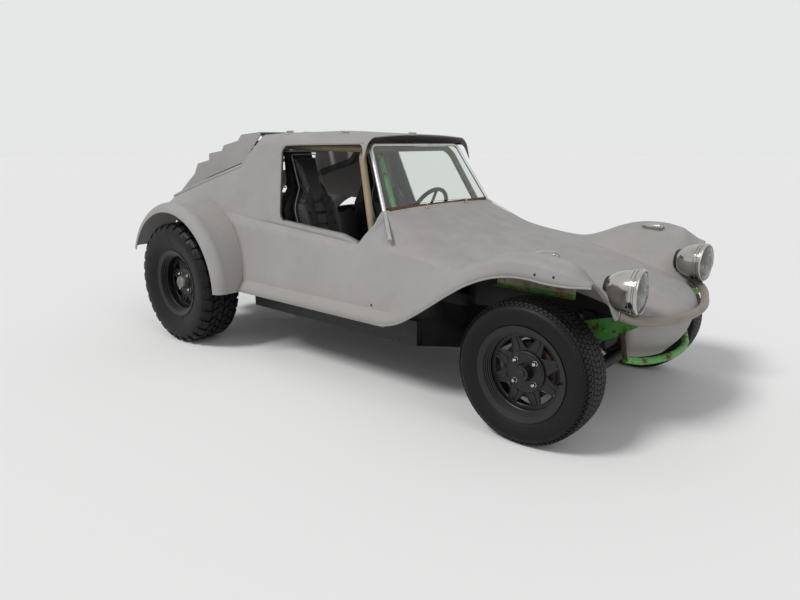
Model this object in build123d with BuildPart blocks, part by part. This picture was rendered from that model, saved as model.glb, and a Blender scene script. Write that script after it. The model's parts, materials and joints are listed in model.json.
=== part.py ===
"""Two-seat rear-engined dune buggy with a moulded body, hardtop and louvred rear hatch.

Millimetres. X points forward, Y to the car's left, Z up. The origin is on the ground under the middle
of the car's length and width. Shapes are made on the right-hand side, at negative Y, and mirrored.
"""
import os
from math import cos, radians, sin, sqrt

from build123d import *

os.makedirs("parts", exist_ok=True)

# Overall
WHEELBASE = 2400
FRONT_AXLE_X = 1230
REAR_AXLE_X = FRONT_AXLE_X - WHEELBASE
SKIN = 5            # fibreglass panels
SEAT_GAP = 0.3      # left between pieces that rest on each other on curved faces

# Wheels: tyre outer radius, tyre width, distance of the tyre's middle plane from the car's centre line
FRONT_TYRE_R = 313
FRONT_TYRE_W = 190
FRONT_TRACK_Y = 635
REAR_TYRE_R = 381
REAR_TYRE_W = 256
REAR_TRACK_Y = 750
FRONT_DISH = 46
REAR_DISH = 70
RIM_R = 208.5       # flange of a 15 inch rim
RIM_BEAD_R = 190
RIM_WALL = 4
WELL_R = 171        # drop centre
SEAT_W = 16
RIM_SHARE = 0.72    # rim width over tyre width
FLANGE_OUT = 9
SPOKES = 8
CAP_R = 40
DRUM_R = 124
DRUM_W = 52
DRUM_GAP = 12       # drum face behind the wheel disc's hub face
KINGPIN_Y = FRONT_TRACK_Y - 115

# Floor pan
PAN_FRONT_X = 900
TORSION_X = REAR_AXLE_X + 400
TORSION_R = 45
PAN_REAR_X = TORSION_X + TORSION_R
PAN_HALF = 575
PAN_Z = 262
PAN_SHEET = 4
PAN_RAIL_W = 45
SILL_Z = 390
TUNNEL_HALF = 78
TUNNEL_Z = 400
HEAD_Z = 282        # underside of the frame head in front of the floor

# Body stations
SILL_FRONT_X = 540
SILL_REAR_X = -560
BELT_Z = 730        # at the front end of the sill
BELT_SLOPE = 0.0636 # rise of the belt line towards the rear
BELT_Y = 622
FLANGE_Y = 750
FLANGE_H = 50
FENDER_SIDE_Y = 744 # flat skirt of the front fender, where the marker lamp's screws go

# Side marker screws in the front fender's skirt
MARKER_HOLE_R = 4
MARKER_Z = 749
MARKER_XS = (1294, 1374)

# Headlamp: middle of the lens rim, and its radius
LAMP = (1540, 420, 660)
LAMP_R = 95

BUMPER_R = 19
TAIL_END_X = -1720


def strip_section(plane, outer, inner):
    """A closed thin section from two runs of points: each run is (start, arc middle, end, lip)."""
    with BuildSketch(plane) as section:
        with BuildLine():
            ThreePointArc(outer[0], outer[1], outer[2])
            if len(outer) == 4:
                Line(outer[2], outer[3])
            Line(outer[-1], inner[-1])
            if len(inner) == 4:
                Line(inner[3], inner[2])
            ThreePointArc(inner[2], inner[1], inner[0])
            Line(inner[0], outer[0])
        make_face()
    return section.sketch


def crown_section(x, half, edge_z, crown_z, wall):
    """A cross-section of a panel that is arched over the car's centre line."""
    outer = ((-half, edge_z), (0, crown_z), (half, edge_z))
    inner = ((-half, edge_z - wall), (0, crown_z - wall), (half, edge_z - wall))
    return strip_section(Plane.YZ.offset(x), outer, inner)


def bent_tube(points, radius, bend, bore=0):
    """A round tube along straight runs joined by arcs."""
    with BuildPart() as tube:
        with BuildLine() as path:
            if len(points) > 2:
                FilletPolyline(*points, radius=bend)
            else:
                Line(*points)
        with BuildSketch(Plane(path.line @ 0, z_dir=path.line % 0)):
            Circle(radius)
            if bore:
                Circle(bore, mode=Mode.SUBTRACT)
        sweep()
    return tube.part


def mirrored(part):
    """The same piece on the car's other side."""
    with BuildPart() as twin:
        mirror(part, about=Plane.XZ)
    return twin.part


def gathered(*parts):
    """Several solids in one piece."""
    with BuildPart() as group:
        for one in parts:
            add(one)
    return group.part


def cut_by(part, *tools):
    """A piece trimmed where its neighbours are."""
    with BuildPart() as trimmed:
        add(part)
        for tool in tools:
            add(tool, mode=Mode.SUBTRACT)
    return trimmed.part


def save(part, name):
    part.label = name
    export_step(part, f"parts/{name}.step")


# Wheels
def make_tyre(side, x, track, radius, width):
    """Tyre carcass out to its tread, turned about the wheel's axis."""
    half = width / 2
    bead = (RIM_BEAD_R + SEAT_GAP, half * RIM_SHARE - SEAT_GAP)
    over_flange = (RIM_R + 2, half * RIM_SHARE + FLANGE_OUT)
    bulge = ((radius + RIM_R) / 2, half)
    shoulder = (radius - 18, half * 0.9)
    tread = (radius - 5, half * 0.78)
    with BuildPart() as tyre:
        with BuildSketch(Plane.XZ):
            with BuildLine():
                Line((bead[0], -bead[1]), bead)
                Line(bead, over_flange)
                ThreePointArc(over_flange, bulge, shoulder)
                Line(shoulder, tread)
                ThreePointArc(tread, (radius, 0), (tread[0], -tread[1]))
                Line((tread[0], -tread[1]), (shoulder[0], -shoulder[1]))
                ThreePointArc((shoulder[0], -shoulder[1]), (bulge[0], -bulge[1]),
                              (over_flange[0], -over_flange[1]))
                Line((over_flange[0], -over_flange[1]), (bead[0], -bead[1]))
            make_face()
        revolve(axis=Axis.Z)
    return placed_wheel_piece(tyre.part, side, x, track, radius)


def placed_wheel_piece(part, side, x, track, radius):
    """Turn a piece made about Z, outer face up, onto its axle on the given side."""
    turn = 90 if side < 0 else -90
    with BuildPart() as piece:
        with Locations(Location((x, side * track, radius), (turn, 0, 0))):
            add(part)
    return piece.part


def make_rim(width, dish):
    """Steel rim about Z with its outer face up: stepped barrel and a spoked disc set in by the dish."""
    rim_half = width / 2 * RIM_SHARE
    flange = rim_half + FLANGE_OUT
    disc = rim_half - dish
    inner = RIM_BEAD_R - RIM_WALL
    with BuildPart() as rim:
        with BuildSketch(Plane.XZ):
            with BuildLine():
                Polyline((RIM_R, -flange), (RIM_BEAD_R, -rim_half), (RIM_BEAD_R, -rim_half + SEAT_W),
                         (WELL_R, -rim_half + SEAT_W + 15), (WELL_R, rim_half - SEAT_W - 15),
                         (RIM_BEAD_R, rim_half - SEAT_W), (RIM_BEAD_R, rim_half), (RIM_R, flange),
                         (RIM_R, flange + RIM_WALL), (inner, rim_half + RIM_WALL),
                         (inner, rim_half - SEAT_W), (WELL_R - RIM_WALL, rim_half - SEAT_W - 15),
                         (WELL_R - RIM_WALL, -rim_half + SEAT_W + 15), (inner, -rim_half + SEAT_W),
                         (inner, -rim_half - RIM_WALL), (RIM_R, -flange - RIM_WALL), (RIM_R, -flange))
            make_face()
        revolve(axis=Axis.Z)
        with BuildSketch(Plane.XY.offset(disc - 6)):
            Circle(WELL_R - 1)
            with PolarLocations(0, SPOKES):
                Polygon((92, 0), (148, -44), (154, 0), (148, 44), align=None, mode=Mode.SUBTRACT)
        extrude(amount=8)
        with BuildSketch(Plane.XY.offset(disc - 6)):
            Circle(88)
        extrude(amount=16)
        with BuildSketch(Plane.XY.offset(disc + 10)):
            Circle(CAP_R)
        extrude(amount=34, taper=12)
    return rim.part, disc


def make_drum(disc):
    """Brake drum behind the rim's disc, about Z."""
    top = disc - 6
    with BuildPart() as drum:
        with BuildSketch(Plane.XY.offset(top)):
            Circle(60)
        extrude(amount=-DRUM_GAP)
        with BuildSketch(Plane.XY.offset(top - DRUM_GAP)):
            Circle(DRUM_R)
        extrude(amount=-DRUM_W)
    return drum.part


WHEELS = (
    # name, side, axle x, track, tyre radius, tyre width, dish
    ("front_left", 1, FRONT_AXLE_X, FRONT_TRACK_Y, FRONT_TYRE_R, FRONT_TYRE_W, FRONT_DISH),
    ("front_right", -1, FRONT_AXLE_X, FRONT_TRACK_Y, FRONT_TYRE_R, FRONT_TYRE_W, FRONT_DISH),
    ("rear_left", 1, REAR_AXLE_X, REAR_TRACK_Y, REAR_TYRE_R, REAR_TYRE_W, REAR_DISH),
    ("rear_right", -1, REAR_AXLE_X, REAR_TRACK_Y, REAR_TYRE_R, REAR_TYRE_W, REAR_DISH),
)
for name, side, axle_x, track, radius, width, dish in WHEELS:
    save(make_tyre(side, axle_x, track, radius, width), f"tyre_{name}")
    rim, disc = make_rim(width, dish)
    save(placed_wheel_piece(rim, side, axle_x, track, radius), f"rim_{name}")
    save(placed_wheel_piece(make_drum(disc), side, axle_x, track, radius), f"drum_{name}")

front_disc = FRONT_TYRE_W / 2 * RIM_SHARE - FRONT_DISH
rear_disc = REAR_TYRE_W / 2 * RIM_SHARE - REAR_DISH
FRONT_DRUM_BACK_Y = FRONT_TRACK_Y + front_disc - 6 - DRUM_GAP - DRUM_W
REAR_DRUM_BACK_Y = REAR_TRACK_Y + rear_disc - 6 - DRUM_GAP - DRUM_W

# Steering knuckles: backing plate, kingpin post and steering arm
KINGPIN_R = 24
TRAIL_ARM_H = 34
KNUCKLE_Z = FRONT_TYRE_R
ARM_LEN = 120
ARM_Y = KINGPIN_Y - 25
ARM_Z = KNUCKLE_Z - 40
BEAM_ARM_Z = (KNUCKLE_Z - 75, KNUCKLE_Z + 75)
with BuildPart() as knuckle_right:
    with BuildSketch(Plane.XZ.offset(FRONT_DRUM_BACK_Y - SEAT_GAP)):
        with Locations((FRONT_AXLE_X, KNUCKLE_Z)):
            Circle(DRUM_R - 6)
    extrude(amount=-4)
    with BuildSketch(Plane.XZ.offset(FRONT_DRUM_BACK_Y - SEAT_GAP - 4)):
        with Locations((FRONT_AXLE_X, KNUCKLE_Z)):
            Circle(26)
    extrude(amount=-(FRONT_DRUM_BACK_Y - SEAT_GAP - 4 - KINGPIN_Y))
    with BuildSketch(Plane.XY.offset(BEAM_ARM_Z[0] + TRAIL_ARM_H / 2 + SEAT_GAP)):
        with Locations((FRONT_AXLE_X, -KINGPIN_Y)):
            Circle(KINGPIN_R)
    extrude(amount=BEAM_ARM_Z[1] - BEAM_ARM_Z[0] - TRAIL_ARM_H - 2 * SEAT_GAP)
    with BuildSketch(Plane.XY.offset(ARM_Z - 8)):
        with BuildLine():
            Polyline((FRONT_AXLE_X + 12, -KINGPIN_Y - 14), (FRONT_AXLE_X + 12, -KINGPIN_Y + 14),
                     (FRONT_AXLE_X - ARM_LEN - 16, -ARM_Y + 14), (FRONT_AXLE_X - ARM_LEN - 16, -ARM_Y - 14),
                     (FRONT_AXLE_X + 12, -KINGPIN_Y - 14))
        make_face()
    extrude(amount=16)
save(knuckle_right.part, "knuckle_right")
save(mirrored(knuckle_right.part), "knuckle_left")

# Tie rod between the two steering arms
TIE_ROD_R = 9
with BuildPart() as tie_rod:
    with BuildSketch(Plane.XZ.offset(-(ARM_Y + 10))):
        with Locations((FRONT_AXLE_X - ARM_LEN, ARM_Z - 8 - SEAT_GAP - TIE_ROD_R)):
            Circle(TIE_ROD_R)
    extrude(amount=2 * (ARM_Y + 10))
save(tie_rod.part, "tie_rod")

# Front beam: two cross tubes with end towers, and two trailing arms a side out to the kingpins
BEAM_X = FRONT_AXLE_X + 120
BEAM_R = 30
BEAM_HALF = 370
TOWER_W = 36
with BuildPart() as front_beam:
    with BuildSketch(Plane.XZ.offset(-BEAM_HALF)):
        with Locations((BEAM_X, BEAM_ARM_Z[0]), (BEAM_X, BEAM_ARM_Z[1])):
            Circle(BEAM_R)
    extrude(amount=2 * BEAM_HALF)
    with BuildSketch(Plane.XZ.offset(BEAM_HALF - TOWER_W)):
        with Locations((BEAM_X, KNUCKLE_Z + 60)):
            RectangleRounded(70, 330, 20)
    extrude(amount=TOWER_W)
    mirror(about=Plane.XZ)
    for arm_z in BEAM_ARM_Z:
        with BuildSketch(Plane.XY.offset(arm_z - TRAIL_ARM_H / 2)):
            with BuildLine():
                Polyline((BEAM_X + 24, -BEAM_HALF), (BEAM_X + 24, -BEAM_HALF - 34),
                         (FRONT_AXLE_X + 22, -KINGPIN_Y - 8), (FRONT_AXLE_X - 22, -KINGPIN_Y - 8),
                         (FRONT_AXLE_X - 22, -KINGPIN_Y + 22), (BEAM_X - 24, -BEAM_HALF),
                         (BEAM_X + 24, -BEAM_HALF))
            make_face()
        extrude(amount=TRAIL_ARM_H)
        mirror(about=Plane.XZ)
save(front_beam.part, "front_beam")

# Floor pan: sheet floor with a tunnel, side rails that carry the body, and a frame head to the beam
with BuildPart() as floor_pan:
    with BuildSketch(Plane.XY.offset(PAN_Z)):
        with BuildLine():
            Polyline((PAN_REAR_X, -PAN_HALF), (PAN_FRONT_X - 330, -PAN_HALF), (PAN_FRONT_X, -330),
                     (PAN_FRONT_X, 330), (PAN_FRONT_X - 330, PAN_HALF), (PAN_REAR_X, PAN_HALF),
                     (PAN_REAR_X, -PAN_HALF))
        make_face()
    extrude(amount=PAN_SHEET)
    with BuildSketch(Plane.YZ.offset(PAN_REAR_X)):
        with BuildLine():
            Polyline((-TUNNEL_HALF, PAN_Z), (-TUNNEL_HALF + 12, TUNNEL_Z - 40),
                     (-TUNNEL_HALF + 40, TUNNEL_Z), (TUNNEL_HALF - 40, TUNNEL_Z),
                     (TUNNEL_HALF - 12, TUNNEL_Z - 40), (TUNNEL_HALF, PAN_Z), (-TUNNEL_HALF, PAN_Z))
        make_face()
    extrude(amount=PAN_FRONT_X - PAN_REAR_X)
    with BuildSketch(Plane.YZ.offset(PAN_FRONT_X)):
        with Locations((0, (HEAD_Z + TUNNEL_Z) / 2)):
            RectangleRounded(150, TUNNEL_Z - HEAD_Z, 20)
    extrude(amount=BEAM_X - BEAM_R - PAN_FRONT_X + 4)
    with BuildSketch(Plane.XY.offset(PAN_Z)):
        with Locations(((PAN_REAR_X + PAN_FRONT_X - 330) / 2, -PAN_HALF + PAN_RAIL_W / 2)):
            Rectangle(PAN_FRONT_X - 330 - PAN_REAR_X, PAN_RAIL_W)
    extrude(amount=SILL_Z - PAN_Z)
    mirror(about=Plane.XZ)
floor_pan = cut_by(floor_pan.part, front_beam.part)
save(floor_pan, "floor_pan")

# Steering column and wheel
WHEEL_C = Vector(-72, 320, 805)
WHEEL_R = 168
COLUMN_TILT = 25
COLUMN_R = 16
column_dir = Vector(cos(radians(COLUMN_TILT)), 0, -sin(radians(COLUMN_TILT)))
COLUMN_LEN = 1130
with BuildPart() as steering_column:
    with BuildSketch(Plane(WHEEL_C + column_dir * 40, z_dir=column_dir)):
        Circle(COLUMN_R)
    extrude(amount=COLUMN_LEN - 40)
    with BuildSketch(Plane(WHEEL_C + column_dir * COLUMN_LEN, z_dir=column_dir)):
        Circle(42)
    extrude(amount=60)
save(steering_column.part, "steering_column")
with BuildPart() as steering_wheel:
    with BuildLine() as rim_path:
        CenterArc((0, 0, 0), WHEEL_R, 0, 360)
    with BuildSketch(Plane((WHEEL_R, 0, 0), z_dir=(0, 1, 0))):
        Circle(13)
    sweep(path=rim_path.line)
    with BuildSketch(Plane.XY.offset(-2)):
        with PolarLocations(0, 3, start_angle=90):
            with Locations((WHEEL_R / 2, 0)):
                Rectangle(WHEEL_R, 26)
    extrude(amount=4)
    with BuildSketch(Plane.XY.offset(-10)):
        Circle(34)
    extrude(amount=49)
with BuildPart() as steering_wheel_placed:
    with Locations(Plane(WHEEL_C, x_dir=(0, 1, 0), z_dir=column_dir).location):
        add(steering_wheel.part)
save(steering_wheel_placed.part, "steering_wheel")

# Rear running gear
PLATE_Y = 480
REAR_SHOCK_R = 26
with BuildPart() as rear_suspension:
    with BuildSketch(Plane.XZ.offset(-480)):
        with Locations((TORSION_X, 330)):
            Circle(TORSION_R)
    extrude(amount=960)
    with BuildSketch(Plane.XZ.offset(PLATE_Y)):
        with BuildLine():
            Polyline((REAR_AXLE_X + 450, 300), (REAR_AXLE_X + 450, 365), (REAR_AXLE_X - 110, 435),
                     (REAR_AXLE_X - 110, 330), (REAR_AXLE_X + 450, 300))
        make_face()
    extrude(amount=10)
    with BuildSketch(Plane.XZ.offset(165)):
        with Locations((REAR_AXLE_X, REAR_TYRE_R)):
            Circle(32)
    extrude(amount=REAR_DRUM_BACK_Y - 165 - SEAT_GAP)
    with BuildSketch(Plane.XZ.offset(REAR_DRUM_BACK_Y - SEAT_GAP - 4)):
        with Locations((REAR_AXLE_X, REAR_TYRE_R)):
            Circle(DRUM_R - 6)
    extrude(amount=4)
    mirror(about=Plane.XZ)
save(rear_suspension.part, "rear_suspension")
with BuildPart() as transaxle:
    with BuildSketch(Plane.YZ.offset(REAR_AXLE_X - 180)):
        with Locations((0, 385)):
            Circle(170)
    with BuildSketch(Plane.YZ.offset(REAR_AXLE_X + 330)):
        with Locations((0, 370)):
            Circle(80)
    loft()
    with BuildSketch(Plane.XZ.offset(-165)):
        with Locations((REAR_AXLE_X, REAR_TYRE_R)):
            Circle(75)
    extrude(amount=330)
save(transaxle.part, "transaxle")
ENGINE_FRONT_X = REAR_AXLE_X - 180
ENGINE_LEN = 250
MUFFLER_R = 50
MUFFLER_X = ENGINE_FRONT_X - ENGINE_LEN - MUFFLER_R - SEAT_GAP
with BuildPart() as engine:
    with BuildSketch(Plane.YZ.offset(ENGINE_FRONT_X)):
        with BuildLine():
            Polyline((-370, 330), (-370, 450), (-200, 500), (-200, 720), (200, 720), (200, 500),
                     (370, 450), (370, 330), (150, 300), (150, 250), (-150, 250), (-150, 300), (-370, 330))
        make_face()
    extrude(amount=-ENGINE_LEN)
save(engine.part, "engine")
with BuildPart() as exhaust:
    with BuildSketch(Plane.XZ.offset(-330)):
        with Locations((MUFFLER_X, 330)):
            Circle(MUFFLER_R)
    extrude(amount=660)
    with BuildSketch(Plane.YZ.offset(MUFFLER_X)):
        with Locations((-180, 285), (180, 285)):
            Circle(19)
            Circle(16, mode=Mode.SUBTRACT)
    extrude(amount=TAIL_END_X - MUFFLER_X)
save(exhaust.part, "exhaust")
FRONT_SHOCK = [(BEAM_X - 20, -BEAM_HALF - 22, 530), (FRONT_AXLE_X + 60, -KINGPIN_Y + 80, KNUCKLE_Z - 58)]
shock_front = cut_by(bent_tube(FRONT_SHOCK, 20, 0), front_beam.part)
shock_y = PLATE_Y - REAR_SHOCK_R - SEAT_GAP
REAR_SHOCK = [(REAR_AXLE_X - 20, -shock_y, 690), (REAR_AXLE_X - 90, -shock_y, 395)]
shock_rear = cut_by(bent_tube(REAR_SHOCK, REAR_SHOCK_R, 0), rear_suspension.part)
save(gathered(shock_front, mirrored(shock_front), shock_rear, mirrored(shock_rear)), "shocks")

# Lower side panels with a rolled top rail and a flared sill flange
def belt_z(x):
    """Height of the seam between the lower body and the hood and hardtop."""
    return BELT_Z + (SILL_FRONT_X - x) * BELT_SLOPE


def side_section(x):
    """Right side panel's cross-section."""
    top = belt_z(x)
    with BuildSketch(Plane.YZ.offset(x)) as section:
        with BuildLine():
            Polyline((-BELT_Y + 70, top - 40), (-BELT_Y + 70, top), (-BELT_Y, top))
            ThreePointArc((-BELT_Y, top), (-BELT_Y - 40, 600), (-FLANGE_Y + 40, SILL_Z + FLANGE_H))
            Polyline((-FLANGE_Y + 40, SILL_Z + FLANGE_H), (-FLANGE_Y, SILL_Z + FLANGE_H),
                     (-FLANGE_Y, SILL_Z), (-PAN_HALF + PAN_RAIL_W, SILL_Z),
                     (-PAN_HALF + PAN_RAIL_W, SILL_Z + SKIN), (-FLANGE_Y + SKIN, SILL_Z + SKIN),
                     (-FLANGE_Y + SKIN, SILL_Z + FLANGE_H - SKIN),
                     (-FLANGE_Y + 42 + SKIN, SILL_Z + FLANGE_H - SKIN))
            ThreePointArc((-FLANGE_Y + 42 + SKIN, SILL_Z + FLANGE_H - SKIN), (-BELT_Y - 40 + SKIN, 600),
                          (-BELT_Y + SKIN, top - SKIN))
            Polyline((-BELT_Y + SKIN, top - SKIN), (-BELT_Y + 70 - SKIN, top - SKIN),
                     (-BELT_Y + 70 - SKIN, top - 40), (-BELT_Y + 70, top - 40))
        make_face()
    return section.sketch


with BuildPart() as side_panel_right:
    loft(sections=[side_section(SILL_REAR_X), side_section(SILL_FRONT_X)], ruled=True)
save(side_panel_right.part, "side_panel_right")
save(mirrored(side_panel_right.part), "side_panel_left")

# Hood, from the windshield base to the nose
HOOD_STATIONS = (
    # x, half width, edge z, crown z, wall
    (275, 480, 880, 912, 6),
    (560, 490, 800, 866, 6),
    (880, 470, 690, 785, 6),
    (1250, 400, 640, 720, 6),
    (1480, 385, 600, 698, 8),
    (1600, 300, 570, 672, 12),
    (1680, 130, 555, 590, 20),
)
with BuildPart() as hood:
    loft(sections=[crown_section(*row) for row in HOOD_STATIONS])
save(hood.part, "hood")

# Front fenders, with the cowl side behind them
COWL_STATIONS = (
    # x, root y, root z, arc middle y, arc middle z, skirt y, skirt top z, lip y, lip z
    (275, 480, 880, 560, 822, 612, 765, 620, belt_z(275)),
    (540, 490, 806, 580, 775, 632, 747, 640, belt_z(540)),
)
FENDER_STATIONS = (
    (540, 490, 806, 580, 775, 650, 735, FLANGE_Y, SILL_Z),
    (700, 485, 750, 600, 735, 690, 690, FLANGE_Y, 480),
    (890, 470, 690, 600, 712, 710, 690, FLANGE_Y, 645),
    (1050, 445, 668, 600, 765, 725, 765, FLANGE_Y, 694),
    (1200, 415, 648, 600, 803, FENDER_SIDE_Y, 785, FENDER_SIDE_Y, 722),
    (1380, 393, 615, 580, 745, FENDER_SIDE_Y, 775, FENDER_SIDE_Y, 708),
    (1560, 388, 562, 545, 610, 715, 745, 735, 725),
)


def fender_section(x, root_y, root_z, mid_y, mid_z, skirt_y, skirt_z, lip_y, lip_z):
    """Right fender's cross-section: arched top, then a skirt down to the lip."""
    outer = ((-root_y, root_z), (-mid_y, mid_z), (-skirt_y, skirt_z), (-lip_y, lip_z))
    inner = ((-root_y, root_z - SKIN * 1.3), (-mid_y, mid_z - SKIN * 1.3),
             (-skirt_y + SKIN * 0.4, skirt_z - SKIN * 1.6), (-lip_y + SKIN, lip_z))
    return strip_section(Plane.YZ.offset(x), outer, inner)


with BuildPart() as lamp_space:
    with BuildSketch(Plane((LAMP[0] - 40, -LAMP[1], LAMP[2]), x_dir=(0, 1, 0), z_dir=(1, 0, 0))):
        Circle(LAMP_R + 2)
    extrude(amount=100)
with BuildPart() as front_fender_raw:
    loft(sections=[fender_section(*row) for row in COWL_STATIONS], ruled=True)
    loft(sections=[fender_section(*row) for row in FENDER_STATIONS], ruled=True)
    with BuildSketch(Plane.XZ.offset(FLANGE_Y + 20)):
        with Locations(*[(x, MARKER_Z) for x in MARKER_XS]):
            Circle(MARKER_HOLE_R)
    extrude(amount=-60, mode=Mode.SUBTRACT)
front_fender_right = cut_by(front_fender_raw.part, hood.part, side_panel_right.part, lamp_space.part)
front_fender_right = front_fender_right.solids().sort_by(SortBy.VOLUME)[-1]
save(front_fender_right, "front_fender_right")
save(mirrored(front_fender_right), "front_fender_left")

# Nose valance under the hood's nose
with BuildPart() as valance_raw:
    with BuildSketch(Plane.XY.offset(330)):
        with BuildLine():
            ThreePointArc((1390, -270), (1560, 0), (1390, 270))
            Line((1390, 270), (1382, 266))
            ThreePointArc((1382, 266), (1554, 0), (1382, -266))
            Line((1382, -266), (1390, -270))
        make_face()
    with BuildSketch(Plane.XY.offset(560)):
        with BuildLine():
            ThreePointArc((1470, -380), (1684, 0), (1470, 380))
            Line((1470, 380), (1462, 376))
            ThreePointArc((1462, 376), (1678, 0), (1462, -376))
            Line((1462, -376), (1470, -380))
        make_face()
    loft()
nose_valance = cut_by(valance_raw.part, hood.part, front_fender_right, mirrored(front_fender_right))
save(nose_valance, "nose_valance")

# Rear fenders, turned about the axle's line
FENDER_R = 505
FENDER_LIP_R = 448
FENDER_OUT_Y = 880
FENDER_ROOT_Y = 600
with BuildPart() as rear_fender_right:
    with BuildSketch(Plane.XY.offset(REAR_TYRE_R)) as arch:
        with BuildLine():
            Polyline((REAR_AXLE_X + FENDER_R, -FENDER_ROOT_Y), (REAR_AXLE_X + FENDER_R, -FENDER_OUT_Y + 70))
            ThreePointArc((REAR_AXLE_X + FENDER_R, -FENDER_OUT_Y + 70),
                          (REAR_AXLE_X + FENDER_R - 14, -FENDER_OUT_Y + 20),
                          (REAR_AXLE_X + FENDER_LIP_R, -FENDER_OUT_Y))
            Line((REAR_AXLE_X + FENDER_LIP_R, -FENDER_OUT_Y), (REAR_AXLE_X + FENDER_LIP_R, -FENDER_OUT_Y + SKIN))
            ThreePointArc((REAR_AXLE_X + FENDER_LIP_R, -FENDER_OUT_Y + SKIN),
                          (REAR_AXLE_X + FENDER_R - 14 - SKIN, -FENDER_OUT_Y + 20 + SKIN),
                          (REAR_AXLE_X + FENDER_R - SKIN, -FENDER_OUT_Y + 70))
            Polyline((REAR_AXLE_X + FENDER_R - SKIN, -FENDER_OUT_Y + 70),
                     (REAR_AXLE_X + FENDER_R - SKIN, -FENDER_ROOT_Y), (REAR_AXLE_X + FENDER_R, -FENDER_ROOT_Y))
        make_face()
    revolve(axis=Axis((REAR_AXLE_X, 0, REAR_TYRE_R), (0, -1, 0)), revolution_arc=157)
save(rear_fender_right.part, "rear_fender_right")
save(mirrored(rear_fender_right.part), "rear_fender_left")

# Hardtop: an arched shell over the cabin, then quarter panels beside the hatch
ROOF_STATIONS = (
    # x, belt y, belt z, shoulder y, shoulder z, roof edge y, roof edge z, crown z
    (130, 616, belt_z(130), 462, 1210, 395, 1274, 1290),
    (-400, 619, belt_z(-400), 497, 1232, 435, 1294, 1314),
    (-715, 620, belt_z(-715), 500, 1228, 440, 1290, 1310),
)
QUARTER_STATIONS = (
    (-715, 620, belt_z(-715), 500, 1228, 440, 1290, 1310),
    (-900, 618, 830, 505, 1092, 480, 1116, 1130),
    (-1300, 600, 850, 510, 985, 486, 1006, 1020),
    (-1690, 560, 830, 508, 872, 490, 886, 896),
)


def roof_section(x, belt_y, low_z, shoulder_y, shoulder_z, edge_y, edge_z, crown_z, inset=0):
    """A cross-section over both sides: leaning walls, rounded shoulders and a slightly arched roof."""
    low = low_z - (1 if inset else 0)
    side = belt_y - inset
    shoulder = (shoulder_y - inset, shoulder_z)
    edge = (edge_y, edge_z - inset)
    bulge = (shoulder[0] * 0.35 + edge[0] * 0.65 + 16, shoulder[1] * 0.35 + edge[1] * 0.65)
    with BuildSketch(Plane.YZ.offset(x)) as section:
        with BuildLine():
            Polyline(shoulder, (side, low), (-side, low), (-shoulder[0], shoulder[1]))
            ThreePointArc((-shoulder[0], shoulder[1]), (-bulge[0], bulge[1]), (-edge[0], edge[1]))
            ThreePointArc((-edge[0], edge[1]), (0, crown_z - inset), edge)
            ThreePointArc(edge, bulge, shoulder)
        make_face()
    return section.sketch


def roof_shell(stations):
    """Outer form less the inner one."""
    with BuildPart() as shell:
        loft(sections=[roof_section(*row) for row in stations], ruled=True)
        loft(sections=[roof_section(*row, inset=SKIN) for row in stations], ruled=True, mode=Mode.SUBTRACT)
    return shell.part


DOOR_OUTLINE = ((-500, 1228), (100, 1238), (250, 765), (-405, 812))
DOOR_CORNER_R = 45
HATCH_OPEN_HALF = 476
HATCH_HALF = HATCH_OPEN_HALF - 5
HATCH_OPEN_X = -716
HINGE_R = 6.7
HINGE_X = HATCH_OPEN_X - HINGE_R - SEAT_GAP
HINGE_Z = 1305
with BuildPart() as hardtop_raw:
    add(roof_shell(ROOF_STATIONS))
    add(roof_shell(QUARTER_STATIONS))
    with BuildSketch(Plane.XZ.offset(-700)):
        with BuildLine() as door_line:
            FilletPolyline(*DOOR_OUTLINE, radius=DOOR_CORNER_R, close=True)
        make_face()
    extrude(amount=1400, mode=Mode.SUBTRACT)
    with BuildSketch(Plane.XY.offset(700)):
        with Locations((HATCH_OPEN_X - 510, 0)):
            Rectangle(1020, 2 * HATCH_OPEN_HALF)
    extrude(amount=700, mode=Mode.SUBTRACT)
hardtop = cut_by(hardtop_raw.part, side_panel_right.part, mirrored(side_panel_right.part),
                 front_fender_right, mirrored(front_fender_right), hood.part,
                 rear_fender_right.part, mirrored(rear_fender_right.part))
save(hardtop, "hardtop")

# Louvred engine hatch: stepped cheeks with slats between them
HATCH_SHEET = 6
HATCH_SLATS = (
    # front x, front z, rear x, rear z
    (-730, 1306, -919, 1292),
    (-956, 1256, -1109, 1227),
    (-1136, 1193, -1280, 1174),
    (-1286, 1132, -1423, 1106),
    (-1466, 1040, -1561, 978),
    (-1561, 978, -1687, 890),
    (-1687, 890, -1714, 853),
)
with BuildPart() as engine_hatch:
    with BuildSketch(Plane.XZ.offset(HATCH_HALF - HATCH_SHEET)):
        with BuildLine():
            stepped = [point for row in HATCH_SLATS[:5] for point in ((row[0], row[1]), (row[2], row[3]))]
            Polyline(*stepped, (-1660, 902), (-1300, 1022), (-900, 1130), (-730, 1290), stepped[0])
        make_face()
    extrude(amount=HATCH_SHEET)
    mirror(about=Plane.XZ)
    for front_x, front_z, rear_x, rear_z in HATCH_SLATS:
        with BuildSketch(Plane.XZ.offset(-HATCH_HALF)):
            with BuildLine():
                Polyline((front_x, front_z), (rear_x, rear_z), (rear_x, rear_z - HATCH_SHEET),
                         (front_x, front_z - HATCH_SHEET), (front_x, front_z))
            make_face()
        extrude(amount=2 * HATCH_HALF)
    for hinge_y in (-130, 70):
        with BuildSketch(Plane.XZ.offset(-hinge_y)):
            with Locations((HINGE_X, HINGE_Z)):
                Circle(HINGE_R)
            with Locations((HINGE_X - 8, HINGE_Z - 2)):
                Rectangle(16, 5)
        extrude(amount=-60)
save(engine_hatch.part, "engine_hatch")

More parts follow.
